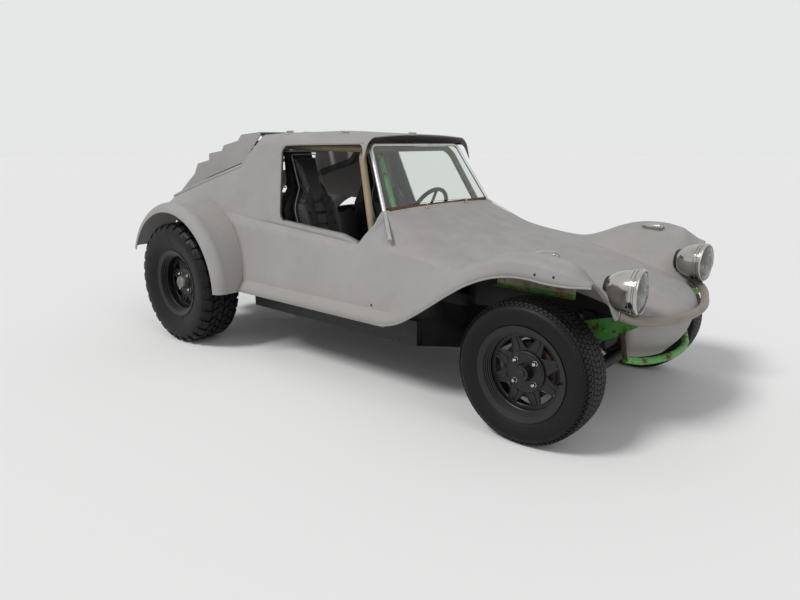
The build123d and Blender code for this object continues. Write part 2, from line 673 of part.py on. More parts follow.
# Tail panel with its lamps
with BuildPart() as tail_panel:
    with BuildSketch(Plane.YZ.offset(-1680)):
        with BuildLine():
            Polyline((-533, 850), (533, 850), (553, 829), (478, 620), (-478, 620), (-553, 829), (-533, 850))
        make_face()
    extrude(amount=SKIN)
save(cut_by(tail_panel.part, hardtop).solids().sort_by(SortBy.VOLUME)[-1], "tail_panel")
with BuildPart() as tail_lamps:
    with BuildSketch(Plane.YZ.offset(-1680)):
        with Locations((-420, 720), (420, 720)):
            Circle(48)
    extrude(amount=-28, taper=8)
save(tail_lamps.part, "tail_lamps")

# Windshield
GLASS_TOP = (90, 385, 1232)
GLASS_BASE = (275, 480, 897)
POST_FOOT = (430, 612, 779)
FRAME_R = 11
right_side = [(POST_FOOT[0], -POST_FOOT[1], POST_FOOT[2]), (GLASS_BASE[0], -GLASS_BASE[1], GLASS_BASE[2]),
              (GLASS_TOP[0], -GLASS_TOP[1], GLASS_TOP[2])]
left_side = [(x, -y, z) for x, y, z in reversed(right_side)]
windshield_frame = cut_by(bent_tube(right_side + left_side, FRAME_R, 45), hardtop, front_fender_right,
                          mirrored(front_fender_right))
save(windshield_frame, "windshield_frame")
rise = sqrt((GLASS_TOP[0] - GLASS_BASE[0]) ** 2 + (GLASS_TOP[2] - GLASS_BASE[2]) ** 2)
glass_plane = Plane((GLASS_BASE[0], 0, GLASS_BASE[2]), x_dir=(0, 1, 0),
                    z_dir=(GLASS_TOP[2] - GLASS_BASE[2], 0, GLASS_BASE[0] - GLASS_TOP[0]))
with BuildPart() as windshield_glass:
    with BuildSketch(glass_plane):
        inner_top = GLASS_TOP[1] - FRAME_R - SEAT_GAP
        inner_base = GLASS_BASE[1] - FRAME_R - SEAT_GAP
        with BuildLine():
            Polyline((-inner_base, 10), (-inner_top, rise - FRAME_R - SEAT_GAP),
                     (inner_top, rise - FRAME_R - SEAT_GAP), (inner_base, 10))
            ThreePointArc((inner_base, 10), (0, 30), (-inner_base, 10))
        make_face()
    extrude(amount=3, both=True)
save(cut_by(windshield_glass.part, windshield_frame), "windshield_glass")

# Roll cage
CAGE_R = 19
CAGE_Y = PAN_HALF - 47
CAGE_RAIL_Y = 350
# Each hoop: foot height, x and height at the belt, x and height at the roof, half width at the roof
FRONT_FOOT_Z, FRONT_BELT, FRONT_ROOF, FRONT_HALF = SILL_Z + SKIN, (240, 760), (30, 1212), 390
REAR_FOOT_Z, REAR_BELT, REAR_ROOF, REAR_HALF = SILL_Z, (-615, 800), (-615, 1222), 400


def hoop(foot_z, belt, roof, half):
    """A hoop from foot to foot, upright to the belt and then leaning in to the roof."""
    right = [(belt[0], -CAGE_Y, foot_z), (belt[0], -CAGE_Y, belt[1]), (roof[0], -half, roof[1])]
    return bent_tube(right + [(x, -y, z) for x, y, z in reversed(right)], CAGE_R, 90)


front_hoop = hoop(FRONT_FOOT_Z, FRONT_BELT, FRONT_ROOF, FRONT_HALF)
rear_hoop = hoop(REAR_FOOT_Z, REAR_BELT, REAR_ROOF, REAR_HALF)
rail = bent_tube([(FRONT_ROOF[0], -CAGE_RAIL_Y, FRONT_ROOF[1]), (REAR_ROOF[0], -CAGE_RAIL_Y, REAR_ROOF[1])],
                 CAGE_R, 0)
roll_cage = cut_by(gathered(front_hoop, rear_hoop, rail, mirrored(rail)), floor_pan)
save(roll_cage, "roll_cage")
cage_brace_raw = bent_tube([(30, -255, 1199), (200, -327, 921), (400, -400, 700)], 14, 60)
cage_brace = cut_by(cage_brace_raw, roll_cage)
save(cage_brace, "cage_brace")

# Cabin walls
with BuildPart() as dashboard:
    with BuildSketch(Plane.YZ.offset(205)):
        with BuildLine():
            Polyline((-500, 860), (-480, 640), (480, 640), (500, 860))
            ThreePointArc((500, 860), (0, 885), (-500, 860))
        make_face()
    extrude(amount=40)
save(cut_by(dashboard.part, roll_cage, steering_column.part, hood.part, cage_brace), "dashboard")
with BuildPart() as rear_bulkhead:
    with BuildSketch(Plane.YZ.offset(-700)):
        with BuildLine():
            Polyline((-PAN_HALF, PAN_Z + PAN_SHEET), (-PAN_HALF, 780), (PAN_HALF, 780),
                     (PAN_HALF, PAN_Z + PAN_SHEET), (-PAN_HALF, PAN_Z + PAN_SHEET))
        make_face()
    extrude(amount=SKIN)
save(cut_by(rear_bulkhead.part, floor_pan), "rear_bulkhead")

# Seats
SEAT_Y = 325
SEAT_HALF = 200
SEAT_X = -420
seat_front = ((-SEAT_Y - SEAT_HALF, PAN_Z), (-SEAT_Y - SEAT_HALF, 860), (-SEAT_Y - 105, 980),
              (-SEAT_Y - 95, 1190), (-SEAT_Y + 95, 1190), (-SEAT_Y + 105, 980),
              (-SEAT_Y + SEAT_HALF, 860), (-SEAT_Y + SEAT_HALF, PAN_Z), (-SEAT_Y - SEAT_HALF, PAN_Z))
with BuildPart() as seat_shell_right:
    with BuildSketch(Plane.XZ.offset(SEAT_Y - SEAT_HALF)):
        with BuildLine():
            Polyline((SEAT_X + 480, PAN_Z + PAN_SHEET), (SEAT_X + 480, 440), (SEAT_X + 60, 400),
                     (SEAT_X - 130, 1190), (SEAT_X - 160, 1190), (SEAT_X - 40, PAN_Z + PAN_SHEET),
                     (SEAT_X + 480, PAN_Z + PAN_SHEET))
        make_face()
    extrude(amount=2 * SEAT_HALF)
    with BuildSketch(Plane.YZ.offset(SEAT_X - 300)):
        with BuildLine():
            Polyline(*seat_front)
        make_face()
    extrude(amount=900, mode=Mode.INTERSECT)
save(seat_shell_right.part, "seat_shell_right")
save(mirrored(seat_shell_right.part), "seat_shell_left")
with BuildPart() as seat_cushions_right:
    with BuildSketch(Plane.XZ.offset(SEAT_Y - SEAT_HALF + 30)):
        with BuildLine():
            Polyline((SEAT_X + 478, 441), (SEAT_X + 478, 500), (SEAT_X + 160, 470), (SEAT_X - 60, 1180),
                     (SEAT_X - 127, 1180), (SEAT_X + 62, 401.5), (SEAT_X + 478, 441))
        make_face()
    extrude(amount=2 * SEAT_HALF - 60)
    with BuildSketch(Plane.YZ.offset(SEAT_X - 300)):
        with BuildLine():
            Polyline(*seat_front)
        make_face()
    extrude(amount=900, mode=Mode.INTERSECT)
save(seat_cushions_right.part, "seat_cushions_right")
save(mirrored(seat_cushions_right.part), "seat_cushions_left")

# Levers on the tunnel
gear_lever = bent_tube([(60, 0, TUNNEL_Z - 5), (20, 0, 680)], 8, 0)
brake_lever = bent_tube([(-150, 22, TUNNEL_Z - 5), (-20, 22, 520)], 10, 0)
save(cut_by(gathered(gear_lever, brake_lever), floor_pan), "levers")

# Lamps
with BuildPart() as lamp_right:
    with BuildSketch(Plane((LAMP[0], -LAMP[1], LAMP[2]), x_dir=(0, 1, 0), z_dir=(1, 0, 0))):
        Circle(LAMP_R)
    with BuildSketch(Plane((LAMP[0] - 120, -LAMP[1], LAMP[2]), x_dir=(0, 1, 0), z_dir=(1, 0, 0))):
        Circle(LAMP_R * 0.72)
    with BuildSketch(Plane((LAMP[0] - 190, -LAMP[1], LAMP[2]), x_dir=(0, 1, 0), z_dir=(1, 0, 0))):
        Circle(LAMP_R * 0.2)
    loft()
with BuildPart() as lens_right:
    with BuildSketch(Plane((LAMP[0] + SEAT_GAP, -LAMP[1], LAMP[2]), x_dir=(0, 1, 0), z_dir=(1, 0, 0))):
        Circle(LAMP_R - 9)
    extrude(amount=14, taper=30)
bracket_right = bent_tube([(1480, -370, 560), (1500, -LAMP[1], LAMP[2] - 70)], 10, 0)
lamp_with_bracket = cut_by(gathered(lamp_right.part, bracket_right), hood.part, nose_valance, front_fender_right)
save(gathered(lamp_with_bracket, mirrored(lamp_with_bracket)), "headlight_shells")
save(gathered(lens_right.part, mirrored(lens_right.part)), "headlight_lenses")
signal_right = bent_tube([(1180, -500, 778), (1290, -500, 778)], 20, 0)
signal_right = cut_by(signal_right, front_fender_right).solids().sort_by(Axis.Z)[-1]
save(gathered(signal_right, mirrored(signal_right)), "turn_signals")

# Bumper: brown upper tube, green lower loop, brackets to the beam
upper_path = [(1530, -345, 515), (1640, -300, 515), (1701, 0, 515), (1640, 300, 515), (1530, 345, 515)]
bumper_bar = bent_tube(upper_path, BUMPER_R, 80)
save(bumper_bar, "bumper_bar")
lower_path = [(1650, -260, 500), (1560, -260, 330), (1545, 0, 295), (1560, 260, 330), (1650, 260, 500)]
save(cut_by(bent_tube(lower_path, 15, 50), bumper_bar), "bumper_loop")
with BuildPart() as bracket_plate:
    with BuildSketch(Plane.XZ.offset(330)):
        with BuildLine():
            Polyline((BEAM_X + 30, 420), (BEAM_X + 30, 500), (1600, 534), (1600, 496), (BEAM_X + 30, 420))
        make_face()
    extrude(amount=5)
bracket_plate = cut_by(bracket_plate.part, bumper_bar, nose_valance, front_beam.part)
bracket_plate = bracket_plate.solids().sort_by(SortBy.VOLUME)[-1]
save(gathered(bracket_plate, mirrored(bracket_plate)), "bumper_brackets")

# Small fittings on the roof and at the glass
with BuildPart() as roof_hinges:
    with BuildSketch(Plane.XY.offset(1250)):
        with Locations((-600, -300), (-90, -300), (-600, 300), (-90, 300)):
            SlotOverall(60, 24)
    extrude(amount=70)
save(gathered(*cut_by(roof_hinges.part, hardtop).solids().sort_by(Axis.Z)[-4:]), "roof_hinges")
with BuildPart() as wipers:
    with BuildSketch(Plane.XY.offset(906.4)):
        with Locations((300, -180), (300, 180)):
            Circle(10)
    extrude(amount=30)
save(wipers.part, "wipers")
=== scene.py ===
"""Looks for the dune buggy: the moulded body, tyres, seats, lamps and fittings, and every finish.

Metres in the scene, and millimetres in the tables. X points forward, Y to the car's left, Z up, with the
origin on the ground under the car's middle. Tables of the right side, at negative Y, are mirrored.
"""
import json
from math import cos, exp, hypot, radians, sin, sqrt, tau

import bmesh
import bpy
from mathutils import Euler, Matrix, Vector
from mathutils.bvhtree import BVHTree


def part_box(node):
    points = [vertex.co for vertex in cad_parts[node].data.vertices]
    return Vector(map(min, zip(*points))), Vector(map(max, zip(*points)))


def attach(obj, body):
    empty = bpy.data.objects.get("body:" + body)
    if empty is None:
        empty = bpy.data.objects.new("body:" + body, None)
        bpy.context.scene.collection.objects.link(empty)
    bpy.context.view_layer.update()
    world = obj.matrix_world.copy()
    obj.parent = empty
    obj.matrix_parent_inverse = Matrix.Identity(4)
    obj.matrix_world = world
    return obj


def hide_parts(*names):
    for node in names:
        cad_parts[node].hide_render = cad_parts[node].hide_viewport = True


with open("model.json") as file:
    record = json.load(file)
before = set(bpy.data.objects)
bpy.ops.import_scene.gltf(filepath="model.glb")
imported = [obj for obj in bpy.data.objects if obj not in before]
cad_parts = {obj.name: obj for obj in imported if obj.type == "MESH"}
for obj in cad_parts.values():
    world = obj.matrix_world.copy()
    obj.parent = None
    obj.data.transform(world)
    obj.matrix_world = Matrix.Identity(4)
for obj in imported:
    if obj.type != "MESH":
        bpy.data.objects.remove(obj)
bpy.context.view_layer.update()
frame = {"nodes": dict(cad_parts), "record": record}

bl_info = {
    "name": "Dune Buggy Looks",
    "version": (1, 0, 0),
    "blender": (4, 5, 0),
    "location": "View3D > Sidebar > Buggy",
    "description": "Moulded body, tyres, seats, lamps and finishes for a two-seat dune buggy",
    "category": "Object",
}

MM = 0.001

# Camera of the photograph: place, turn about Z, pitch below level, and lens on a 36 mm wide sensor
CAMERA_AT = (2.48, -2.93, 1.25)
CAMERA_YAW = 40.6
CAMERA_PITCH = -13.9
CAMERA_LENS = 28.8


# Small tools

def linear(hex_colour):
    """An sRGB hex colour as linear values."""
    parts = [int(hex_colour[i:i + 2], 16) / 255 for i in (1, 3, 5)]
    return (*[p / 12.92 if p <= 0.04045 else ((p + 0.055) / 1.055) ** 2.4 for p in parts], 1.0)


def add_node(tree, kind, settings=None, links=None, **values):
    """A node with its own settings, its input values by name or number, and links from other nodes' outputs."""
    node = tree.nodes.new(kind)
    for key, value in values.items():
        setattr(node, key, value)
    for key, value in (settings or {}).items():
        node.inputs[key].default_value = value
    for key, source in (links or {}).items():
        tree.links.new(source, node.inputs[key])
    return node


def new_material(name, constants=None):
    """A material with its shader's constants set, and the place on the car that its patterns are laid out by."""
    material = bpy.data.materials.new(name)
    material.use_nodes = True
    tree = material.node_tree
    shader = tree.nodes["Principled BSDF"]
    for socket, value in (constants or {}).items():
        shader.inputs[socket].default_value = value
    place = add_node(tree, "ShaderNodeTexCoord").outputs["Object"]
    return material, tree, shader, place


def noise(tree, place, grain_mm, detail=4, roughness=0.55, distortion=0.0):
    """Noise whose grains are about this wide."""
    return add_node(tree, "ShaderNodeTexNoise",
                    {"Scale": 1 / (grain_mm * MM), "Detail": detail, "Roughness": roughness,
                     "Distortion": distortion}, {"Vector": place}).outputs["Fac"]


def mask(tree, value, low, high):
    """0 under the low value, 1 over the high one."""
    return add_node(tree, "ShaderNodeMapRange", {"From Min": low, "From Max": high}, {"Value": value},
                    interpolation_type="SMOOTHSTEP").outputs["Result"]


def patches(tree, place, grain_mm, low, high, **kind):
    """Ragged patches about this wide: the wider the gap from low to high, the softer their edge."""
    return mask(tree, noise(tree, place, grain_mm, **kind), low, high)


def mix(tree, factor, first, second):
    """Colour that goes from the first to the second; each is a hex colour, linear values or an output."""
    node = add_node(tree, "ShaderNodeMix", data_type="RGBA")
    for socket, colour in ((6, first), (7, second)):
        if isinstance(colour, bpy.types.NodeSocket):
            tree.links.new(colour, node.inputs[socket])
        else:
            node.inputs[socket].default_value = linear(colour) if isinstance(colour, str) else colour
    tree.links.new(factor, node.inputs[0])
    return node.outputs[2]


def times(tree, first, second):
    """A factor multiplied by a number or by another factor."""
    node = add_node(tree, "ShaderNodeMath", links={0: first}, operation="MULTIPLY")
    if isinstance(second, bpy.types.NodeSocket):
        tree.links.new(second, node.inputs[1])
    else:
        node.inputs[1].default_value = second
    return node.outputs[0]


def over(tree, colour, second, where, amount):
    """A colour with a second one over it where the mask is 1, as strong as the amount."""
    return mix(tree, times(tree, where, amount), colour, second)


def vary(tree, shader, socket, factor, first, second):
    """Let a value of the shader go from the first to the second as the factor goes from 0 to 1."""
    node = add_node(tree, "ShaderNodeMapRange", {"To Min": first, "To Max": second}, {"Value": factor})
    tree.links.new(node.outputs[0], shader.inputs[socket])


def bump(tree, shader, height, depth_mm, strength, under=None):
    """Relief of about this depth."""
    node = add_node(tree, "ShaderNodeBump", {"Distance": depth_mm * MM, "Strength": strength}, {"Height": height})
    if under is not None:
        tree.links.new(under, node.inputs["Normal"])
    tree.links.new(node.outputs[0], shader.inputs["Normal"])
    return node.outputs[0]


def part_of(tree, vector, axis):
    """One number of a vector."""
    return add_node(tree, "ShaderNodeSeparateXYZ", links={0: vector}).outputs[axis]


def facing_up(tree, low, high):
    """1 where the surface looks up, 0 where it stands or looks down."""
    return mask(tree, part_of(tree, add_node(tree, "ShaderNodeNewGeometry").outputs["Normal"], "Z"), low, high)


# Finishes. Lengths are in mm; noise thresholds, shares and roughness were set against the photograph.
SPLASHED = (400, 520)       # heights between which road dirt thins out on the body
DEEP_RUST = "#2c1a12"
VINYL_GRAIN = 2.0
RIB_PITCH = 2.2
PRIMER_EDGE = (649, 653)    # height of the primer's lower edge on the inner panels
RAGGED_BY = 30              # how far down that edge runs in places


def primer_on_fibreglass(base):
    """Polyester laminate from a mould, sprayed with thick grey primer. To the eye it is dead matt and even,
    with faint clouds from the spray gun, a little dust on top and the slow waves of hand lay-up."""
    material, tree, shader, place = new_material("primer_on_moulded_fibreglass", {"Specular IOR Level": 0.3})
    spray = noise(tree, place, 70, detail=4, roughness=0.6)
    dust = times(tree, facing_up(tree, 0.45, 0.98), patches(tree, place, 110, 0.3, 0.75))
    scuffs = patches(tree, place, 46, 0.655, 0.69, detail=7, roughness=0.72, distortion=0.8)
    splashed = mask(tree, part_of(tree, place, "Z"), SPLASHED[1] * MM, SPLASHED[0] * MM)
    colour = base
    for where, amount, second in ((patches(tree, place, 520, 0.35, 0.7, detail=2), 0.35, "#a5a29f"),
                                  (mask(tree, spray, 0.5, 0.75), 0.18, "#817f80"), (dust, 0.3, "#b1aba3"),
                                  (scuffs, 0.25, "#bbb6b0"), (splashed, 0.22, "#807a72")):
        colour = over(tree, colour, second, where, amount)
    tree.links.new(colour, shader.inputs["Base Color"])
    vary(tree, shader, "Roughness", spray, 0.55, 0.78)
    waves = bump(tree, shader, noise(tree, place, 240, detail=1), 4, 0.2)
    bump(tree, shader, noise(tree, place, 1.8, detail=3), 0.2, 0.3, under=waves)
    return material


def plain_coat(name, base, worn, roughness, metallic=0.0, grain_mm=8.0, wear=(0.6, 0.7), rust=None, depth=0.2):
    """Paint, plating or bare cast metal with uneven gloss, and worn or rusted places."""
    material, tree, shader, place = new_material(name)
    grime = noise(tree, place, grain_mm * 6, detail=5)
    colour = over(tree, base, worn, mask(tree, grime, 0.4, 0.75), 0.6)
    if rust:
        rusted = patches(tree, place, grain_mm * 4, *wear, detail=7, roughness=0.7)
        colour = mix(tree, rusted, colour, mix(tree, noise(tree, place, grain_mm), rust, DEEP_RUST))
        vary(tree, shader, "Roughness", rusted, roughness, 0.9)
        if metallic:
            vary(tree, shader, "Metallic", rusted, metallic, 0.0)
    else:
        vary(tree, shader, "Roughness", grime, roughness * 0.8, roughness * 1.25)
        shader.inputs["Metallic"].default_value = metallic
    tree.links.new(colour, shader.inputs["Base Color"])
    bump(tree, shader, noise(tree, place, grain_mm / 3, detail=3), depth, 0.4)
    return material


def tyre_rubber():
    """Carbon-black rubber pressed in a mould: nearly black, dull, with grey road dust in the hollows and a
    fine pebble left by the mould."""
    material, tree, shader, place = new_material("vulcanised_tyre_rubber", {"Specular IOR Level": 0.25})
    dusty = patches(tree, place, 45, 0.5, 0.8, detail=6, roughness=0.65)
    colour = over(tree, "#070708", "#1b1917", dusty, 0.3)
    colour = over(tree, colour, "#191715", patches(tree, place, 9, 0.55, 0.8), 0.25)
    tree.links.new(colour, shader.inputs["Base Color"])
    vary(tree, shader, "Roughness", dusty, 0.5, 0.85)
    bump(tree, shader, noise(tree, place, 2.6, detail=3), 0.6, 0.7)
    return material


def vinyl():
    """Cotton-backed vinyl with an embossed leather grain of about 1.5 mm, drawn at 2 mm so that it shows;
    black with a soft sheen on the crowns."""
    material, tree, shader, place = new_material("embossed_black_vinyl", {"Sheen Weight": 0.15})
    grain = add_node(tree, "ShaderNodeTexVoronoi", {"Scale": 1 / (VINYL_GRAIN * MM)}, {"Vector": place},
                     feature="DISTANCE_TO_EDGE").outputs["Distance"]
    worn = patches(tree, place, 60, 0.5, 0.75, detail=5)
    tree.links.new(over(tree, "#161617", "#2a2928", worn, 0.5), shader.inputs["Base Color"])
    vary(tree, shader, "Roughness", worn, 0.42, 0.62)
    bump(tree, shader, mask(tree, grain, 0.0, 0.25), 0.25, 0.5)
    return material


def webbing():
    """Polyester webbing woven in ribs 2.2 mm apart: dull black, with a fine cross-wise rib and greyed patches."""
    material, tree, shader, place = new_material("woven_polyester_webbing", {"Roughness": 0.85})
    ribs = add_node(tree, "ShaderNodeTexWave", {"Scale": 1 / (RIB_PITCH * MM) / tau, "Distortion": 0.4},
                    {"Vector": place}, bands_direction="Z").outputs["Fac"]
    faded = patches(tree, place, 30, 0.45, 0.75, detail=5)
    tree.links.new(over(tree, "#232325", "#5b5854", faded, 0.5), shader.inputs["Base Color"])
    bump(tree, shader, ribs, 0.3, 0.6)
    return material


def clear_glass(name, tint, roughness):
    """Float or pressed glass: clear, with a slight tint and a faint smear of dust that blurs it."""
    material, tree, shader, place = new_material(name, {"Base Color": linear(tint), "Transmission Weight": 1.0,
                                                        "IOR": 1.45})
    vary(tree, shader, "Roughness", noise(tree, place, 120, detail=5), roughness, roughness + 0.06)
    return material


def primed_steel_over_green():
    """Folded inner panel: grey-tan primer above, and chipped green enamel with rust along its lower edge."""
    material, tree, shader, place = new_material("green_enamel_under_primer")
    ragged = noise(tree, place, 40, detail=6, roughness=0.7)
    edge = add_node(tree, "ShaderNodeMath", operation="ADD",
                    links={0: part_of(tree, place, "Z"), 1: times(tree, ragged, RAGGED_BY * MM)}).outputs[0]
    green = mix(tree, mask(tree, ragged, 0.5, 0.58), "#3f9432", "#7a4c2c")
    primer = mix(tree, mask(tree, ragged, 0.45, 0.7), "#a3957f", "#75685a")
    upper = mask(tree, edge, PRIMER_EDGE[0] * MM, PRIMER_EDGE[1] * MM)
    tree.links.new(mix(tree, upper, green, primer), shader.inputs["Base Color"])
    vary(tree, shader, "Roughness", ragged, 0.45, 0.85)
    bump(tree, shader, noise(tree, place, 4, detail=4), 0.3, 0.4)
    return material


def make_finishes(colours):
    """Every finish by its short name."""
    return {
        "body": primer_on_fibreglass(colours.primer),
        "rubber": tyre_rubber(),
        # Pressed steel in satin enamel: nearly black, with a soft shine and rust at the chips
        "rim": plain_coat("satin_enamel_on_pressed_steel", colours.wheels, "#121110", 0.4, grain_mm=10,
                          wear=(0.7, 0.76), rust="#5b3a26"),
        # Cast iron left bare: brown rust over dark grey
        "drum": plain_coat("rusted_cast_iron", "#3d322b", "#332620", 0.8, grain_mm=6, wear=(0.45, 0.62),
                           rust="#66402a"),
        # Chassis paint brushed on steel: flat near-black, dusty, with a little rust
        "chassis": plain_coat("brushed_chassis_paint_on_steel", "#181717", "#2c2926", 0.6, grain_mm=12,
                              wear=(0.6, 0.7), rust="#4a3020"),
        # Sand-cast alloy: grainy dull silver, darkened by oil
        "alloy": plain_coat("sand_cast_aluminium", "#8b8b87", "#4d4a47", 0.5, metallic=0.9, grain_mm=6, depth=0.4),
        # Steel pipe browned by heat, with scale: dull, blotched and half metallic
        "exhaust": plain_coat("heat_stained_steel", "#5c4a3c", "#3d2f27", 0.6, metallic=0.8, grain_mm=14,
                              wear=(0.5, 0.68), rust="#6a3f27"),
        # Tan primer sprayed on drawn tube: flat and sandy, rusted where it was rubbed
        "cage": plain_coat("tan_primer_on_drawn_tube", "#8f7d62", "#6d6254", 0.62, grain_mm=16,
                           wear=(0.64, 0.7), rust="#6b4630"),
        # Green enamel brushed on steel brackets: bright where whole, rust through the chips
        "green": plain_coat("green_enamel_on_steel", colours.brackets, "#7a9a63", 0.5, grain_mm=10,
                            wear=(0.53, 0.6), rust="#70452b"),
        # Grey primer on bent steel tube: smooth and half-matt, with brown chips
        "bumper": plain_coat("grey_primer_on_steel_tube", "#857d74", "#6f675f", 0.5, grain_mm=14,
                             wear=(0.66, 0.74), rust="#66422d"),
        # Vacuum-formed black plastic shell: pebbled, half-matt
        "abs": plain_coat("moulded_black_abs", "#161618", "#232222", 0.45, grain_mm=5),
        "vinyl": vinyl(),
        # Extruded vinyl cord, plain: its grey, lighter than the pads, is a painted highlight that draws their edge
        "piping": plain_coat("grey_vinyl_piping_painted_highlight", "#8d8a86", "#6d6a66", 0.5, grain_mm=5),
        "webbing": webbing(),
        # Chrome over steel: mirror-bright with a few dull pitted places
        "chrome": plain_coat("chrome_plate_on_steel", "#b9b7b3", "#96918a", 0.13, metallic=1.0, grain_mm=12,
                             wear=(0.72, 0.8), rust="#7b6a58", depth=0.05),
        # Aluminium vapour on a pressed bowl: clear grey mirror behind the glass
        "reflector": plain_coat("vapour_plated_reflector", "#8f8f8d", "#6f6d69", 0.2, metallic=1.0, grain_mm=20,
                                depth=0.05),
        "lens": clear_glass("pressed_lamp_glass", "#c4c6c4", 0.05),
        "glass": clear_glass("laminated_windshield_glass", "#e3ebe5", 0.01),
        # Acrylic lens over a silvered bulb: pale grey and glossy
        "signal": plain_coat("moulded_clear_acrylic", "#9b9996", "#7f7c78", 0.15, grain_mm=10, metallic=0.5),
        # Sun-browned rubber section: dull brown with dark cracks
        "seal": plain_coat("perished_brown_rubber", "#5f4026", "#3a2718", 0.75, grain_mm=4),
        # Drawn aluminium, polished: bright, with a slightly blurred shine
        "aluminium": plain_coat("drawn_aluminium_tube", "#c3c4c6", "#a7a6a4", 0.3, metallic=1.0, grain_mm=10,
                                depth=0.05),
        # Acrylic moulded in deep red: glossy and dark until lit
        "red_lens": plain_coat("moulded_red_acrylic", "#7a0d0b", "#5a0c0a", 0.2, grain_mm=10),
        # Injection-moulded black plastic or rubber trim: even and half-matt
        "plastic": plain_coat("moulded_black_plastic", "#141415", "#232221", 0.5, grain_mm=5),
        # Marks printed on the dials: flat off-white
        "white": plain_coat("printed_white_dial_marks", "#d8d6cf", "#b9b6ae", 0.6, grain_mm=5),
        "inner": primed_steel_over_green(),
    }


# Which finish each material slot of the built nodes gets
SLOT_FINISH = {
    "body_primer": "body", "tyre_rubber": "rubber", "rim_black": "rim", "drum_rust": "drum",
    "chassis_black": "chassis", "engine_alloy": "alloy", "exhaust_steel": "exhaust", "cage_brown": "cage",
    "brace_green": "green", "bumper_brown": "bumper", "seat_shell": "abs", "seat_vinyl": "vinyl",
    "chrome": "chrome", "lens": "lens", "glass": "glass", "aluminium": "aluminium", "lamp_red": "red_lens",
    "black_plastic": "plastic",
}
finishes = {}       # filled by the operator for the finishes, by short name


# Mesh tools

def at(x, y, z, turn=(0, 0, 0)):
    """A place on the car: a point in mm, and turns in degrees about X, then Y, then Z."""
    return Matrix.Translation(Vector((x, y, z)) * MM) @ Euler([radians(t) for t in turn]).to_matrix().to_4x4()


def evenly(start, end, steps):
    """Numbers from start to end, evenly spaced."""
    return [start + (end - start) * index / steps for index in range(steps + 1)]


def clamped(value):
    """The value, kept between 0 and 1."""
    return min(max(value, 0), 1)


def bow(start, middle, end, steps):
    """Points of a curve from start to end that passes through the middle point, without the last."""
    control = [2 * m - (a + b) / 2 for a, m, b in zip(start, middle, end)]
    points = []
    for step in range(steps):
        t = step / steps
        points.append(tuple((1 - t) ** 2 * a + 2 * t * (1 - t) * c + t * t * b
                            for a, c, b in zip(start, control, end)))
    return points


def smooth_rows(rows, steps):
    """Rows of numbers with smooth ones put in between, each through its neighbours."""
    made = []
    for index in range(len(rows) - 1):
        before, first = rows[max(index - 1, 0)], rows[index]
        second, after = rows[index + 1], rows[min(index + 2, len(rows) - 1)]
        for step in range(steps):
            t = step / steps
            made.append([b + 0.5 * t * (c - a + t * (2 * a - 5 * b + 4 * c - d + t * (3 * (b - c) + d - a)))
                         for a, b, c, d in zip(before, first, second, after)])
    return made + [list(rows[-1])]


def rounded(points, radius, steps=6, closed=False):
    """A run of points in mm with its corners rounded off."""
    points = [Vector(p) for p in points]
    made = [] if closed else [points[0]]
    corners = range(len(points)) if closed else range(1, len(points) - 1)
    for index in corners:
        corner, before, after = points[index], points[index - 1], points[(index + 1) % len(points)]
        start = corner + (before - corner).normalized() * min(radius, (before - corner).length / 2.1)
        end = corner + (after - corner).normalized() * min(radius, (after - corner).length / 2.1)
        for step in range(steps + 1):
            t = step / steps
            made.append(start * (1 - t) ** 2 + corner * 2 * t * (1 - t) + end * t * t)
    return made if closed else made + [points[-1]]


def skin(bm, rows, closed=False):
    """Faces over rows of points in mm, each row with as many points as the next."""
    made = [[bm.verts.new(Vector(point) * MM) for point in row] for row in rows]
    for low, high in zip(made, made[1:]):
        for i in range(len(low) - (not closed)):
            j = (i + 1) % len(low)
            bm.faces.new((low[i], low[j], high[j], high[i]))
    return made


def polar(radius, angle, height):
    """Point at a radius, an angle in radians and a height, about the local Z axis."""
    return Vector((radius * cos(angle), radius * sin(angle), height))


def turned(bm, profile, sides, place, loop=False):
    """Turn a profile of (radius, height) points in mm about the local Z axis."""
    rings = []
    for radius, height in profile:
        count = sides if radius > 0 else 1
        rings.append([bm.verts.new(place @ (polar(radius, tau * i / sides, height) * MM)) for i in range(count)])
    for low, high in zip(rings, rings[1:] + (rings[:1] if loop else [])):
        for i in range(sides):
            ring = (low[i % len(low)], low[(i + 1) % len(low)], high[(i + 1) % len(high)], high[i % len(high)])
            corners = list(dict.fromkeys(ring))
            if len(corners) > 2:
                bm.faces.new(corners)


def circle(radius, sides):
    """Section of a tube."""
    return [(radius * cos(tau * i / sides), radius * sin(tau * i / sides)) for i in range(sides)]


def flat_bar(width, thick):
    """Section of a strap or bar with its long edges rounded."""
    w, t = width / 2, thick / 2
    half = [(-w, -t * 0.4), (-w + t, -t), (w - t, -t), (w, -t * 0.4)]
    return half + [(-across, -out) for across, out in half]


def sweep(bm, path, section, across=None, closed=False, place=Matrix()):
    """Carry a closed section of (across, out) points along a path, all in mm."""
    points = [Vector(p) for p in path]
    side = Vector(across) if across else None
    rings = []
    for index, point in enumerate(points):
        before = points[index - 1] if index or closed else point
        after = points[(index + 1) % len(points)] if index < len(points) - 1 or closed else point
        along = (after - before).normalized()
        if side is None:
            side = along.orthogonal()
        reach = Vector(across) if across else side
        side = (reach - along * reach.dot(along)).normalized()
        out = side.cross(along)
        rings.append([bm.verts.new(place @ ((point + side * a + out * b) * MM)) for a, b in section])
    for low, high in zip(rings, rings[1:] + (rings[:1] if closed else [])):
        for i in range(len(section)):
            j = (i + 1) % len(section)
            bm.faces.new((low[i], low[j], high[j], high[i]))
    if not closed:
        bm.faces.new(rings[0][::-1])
        bm.faces.new(rings[-1])


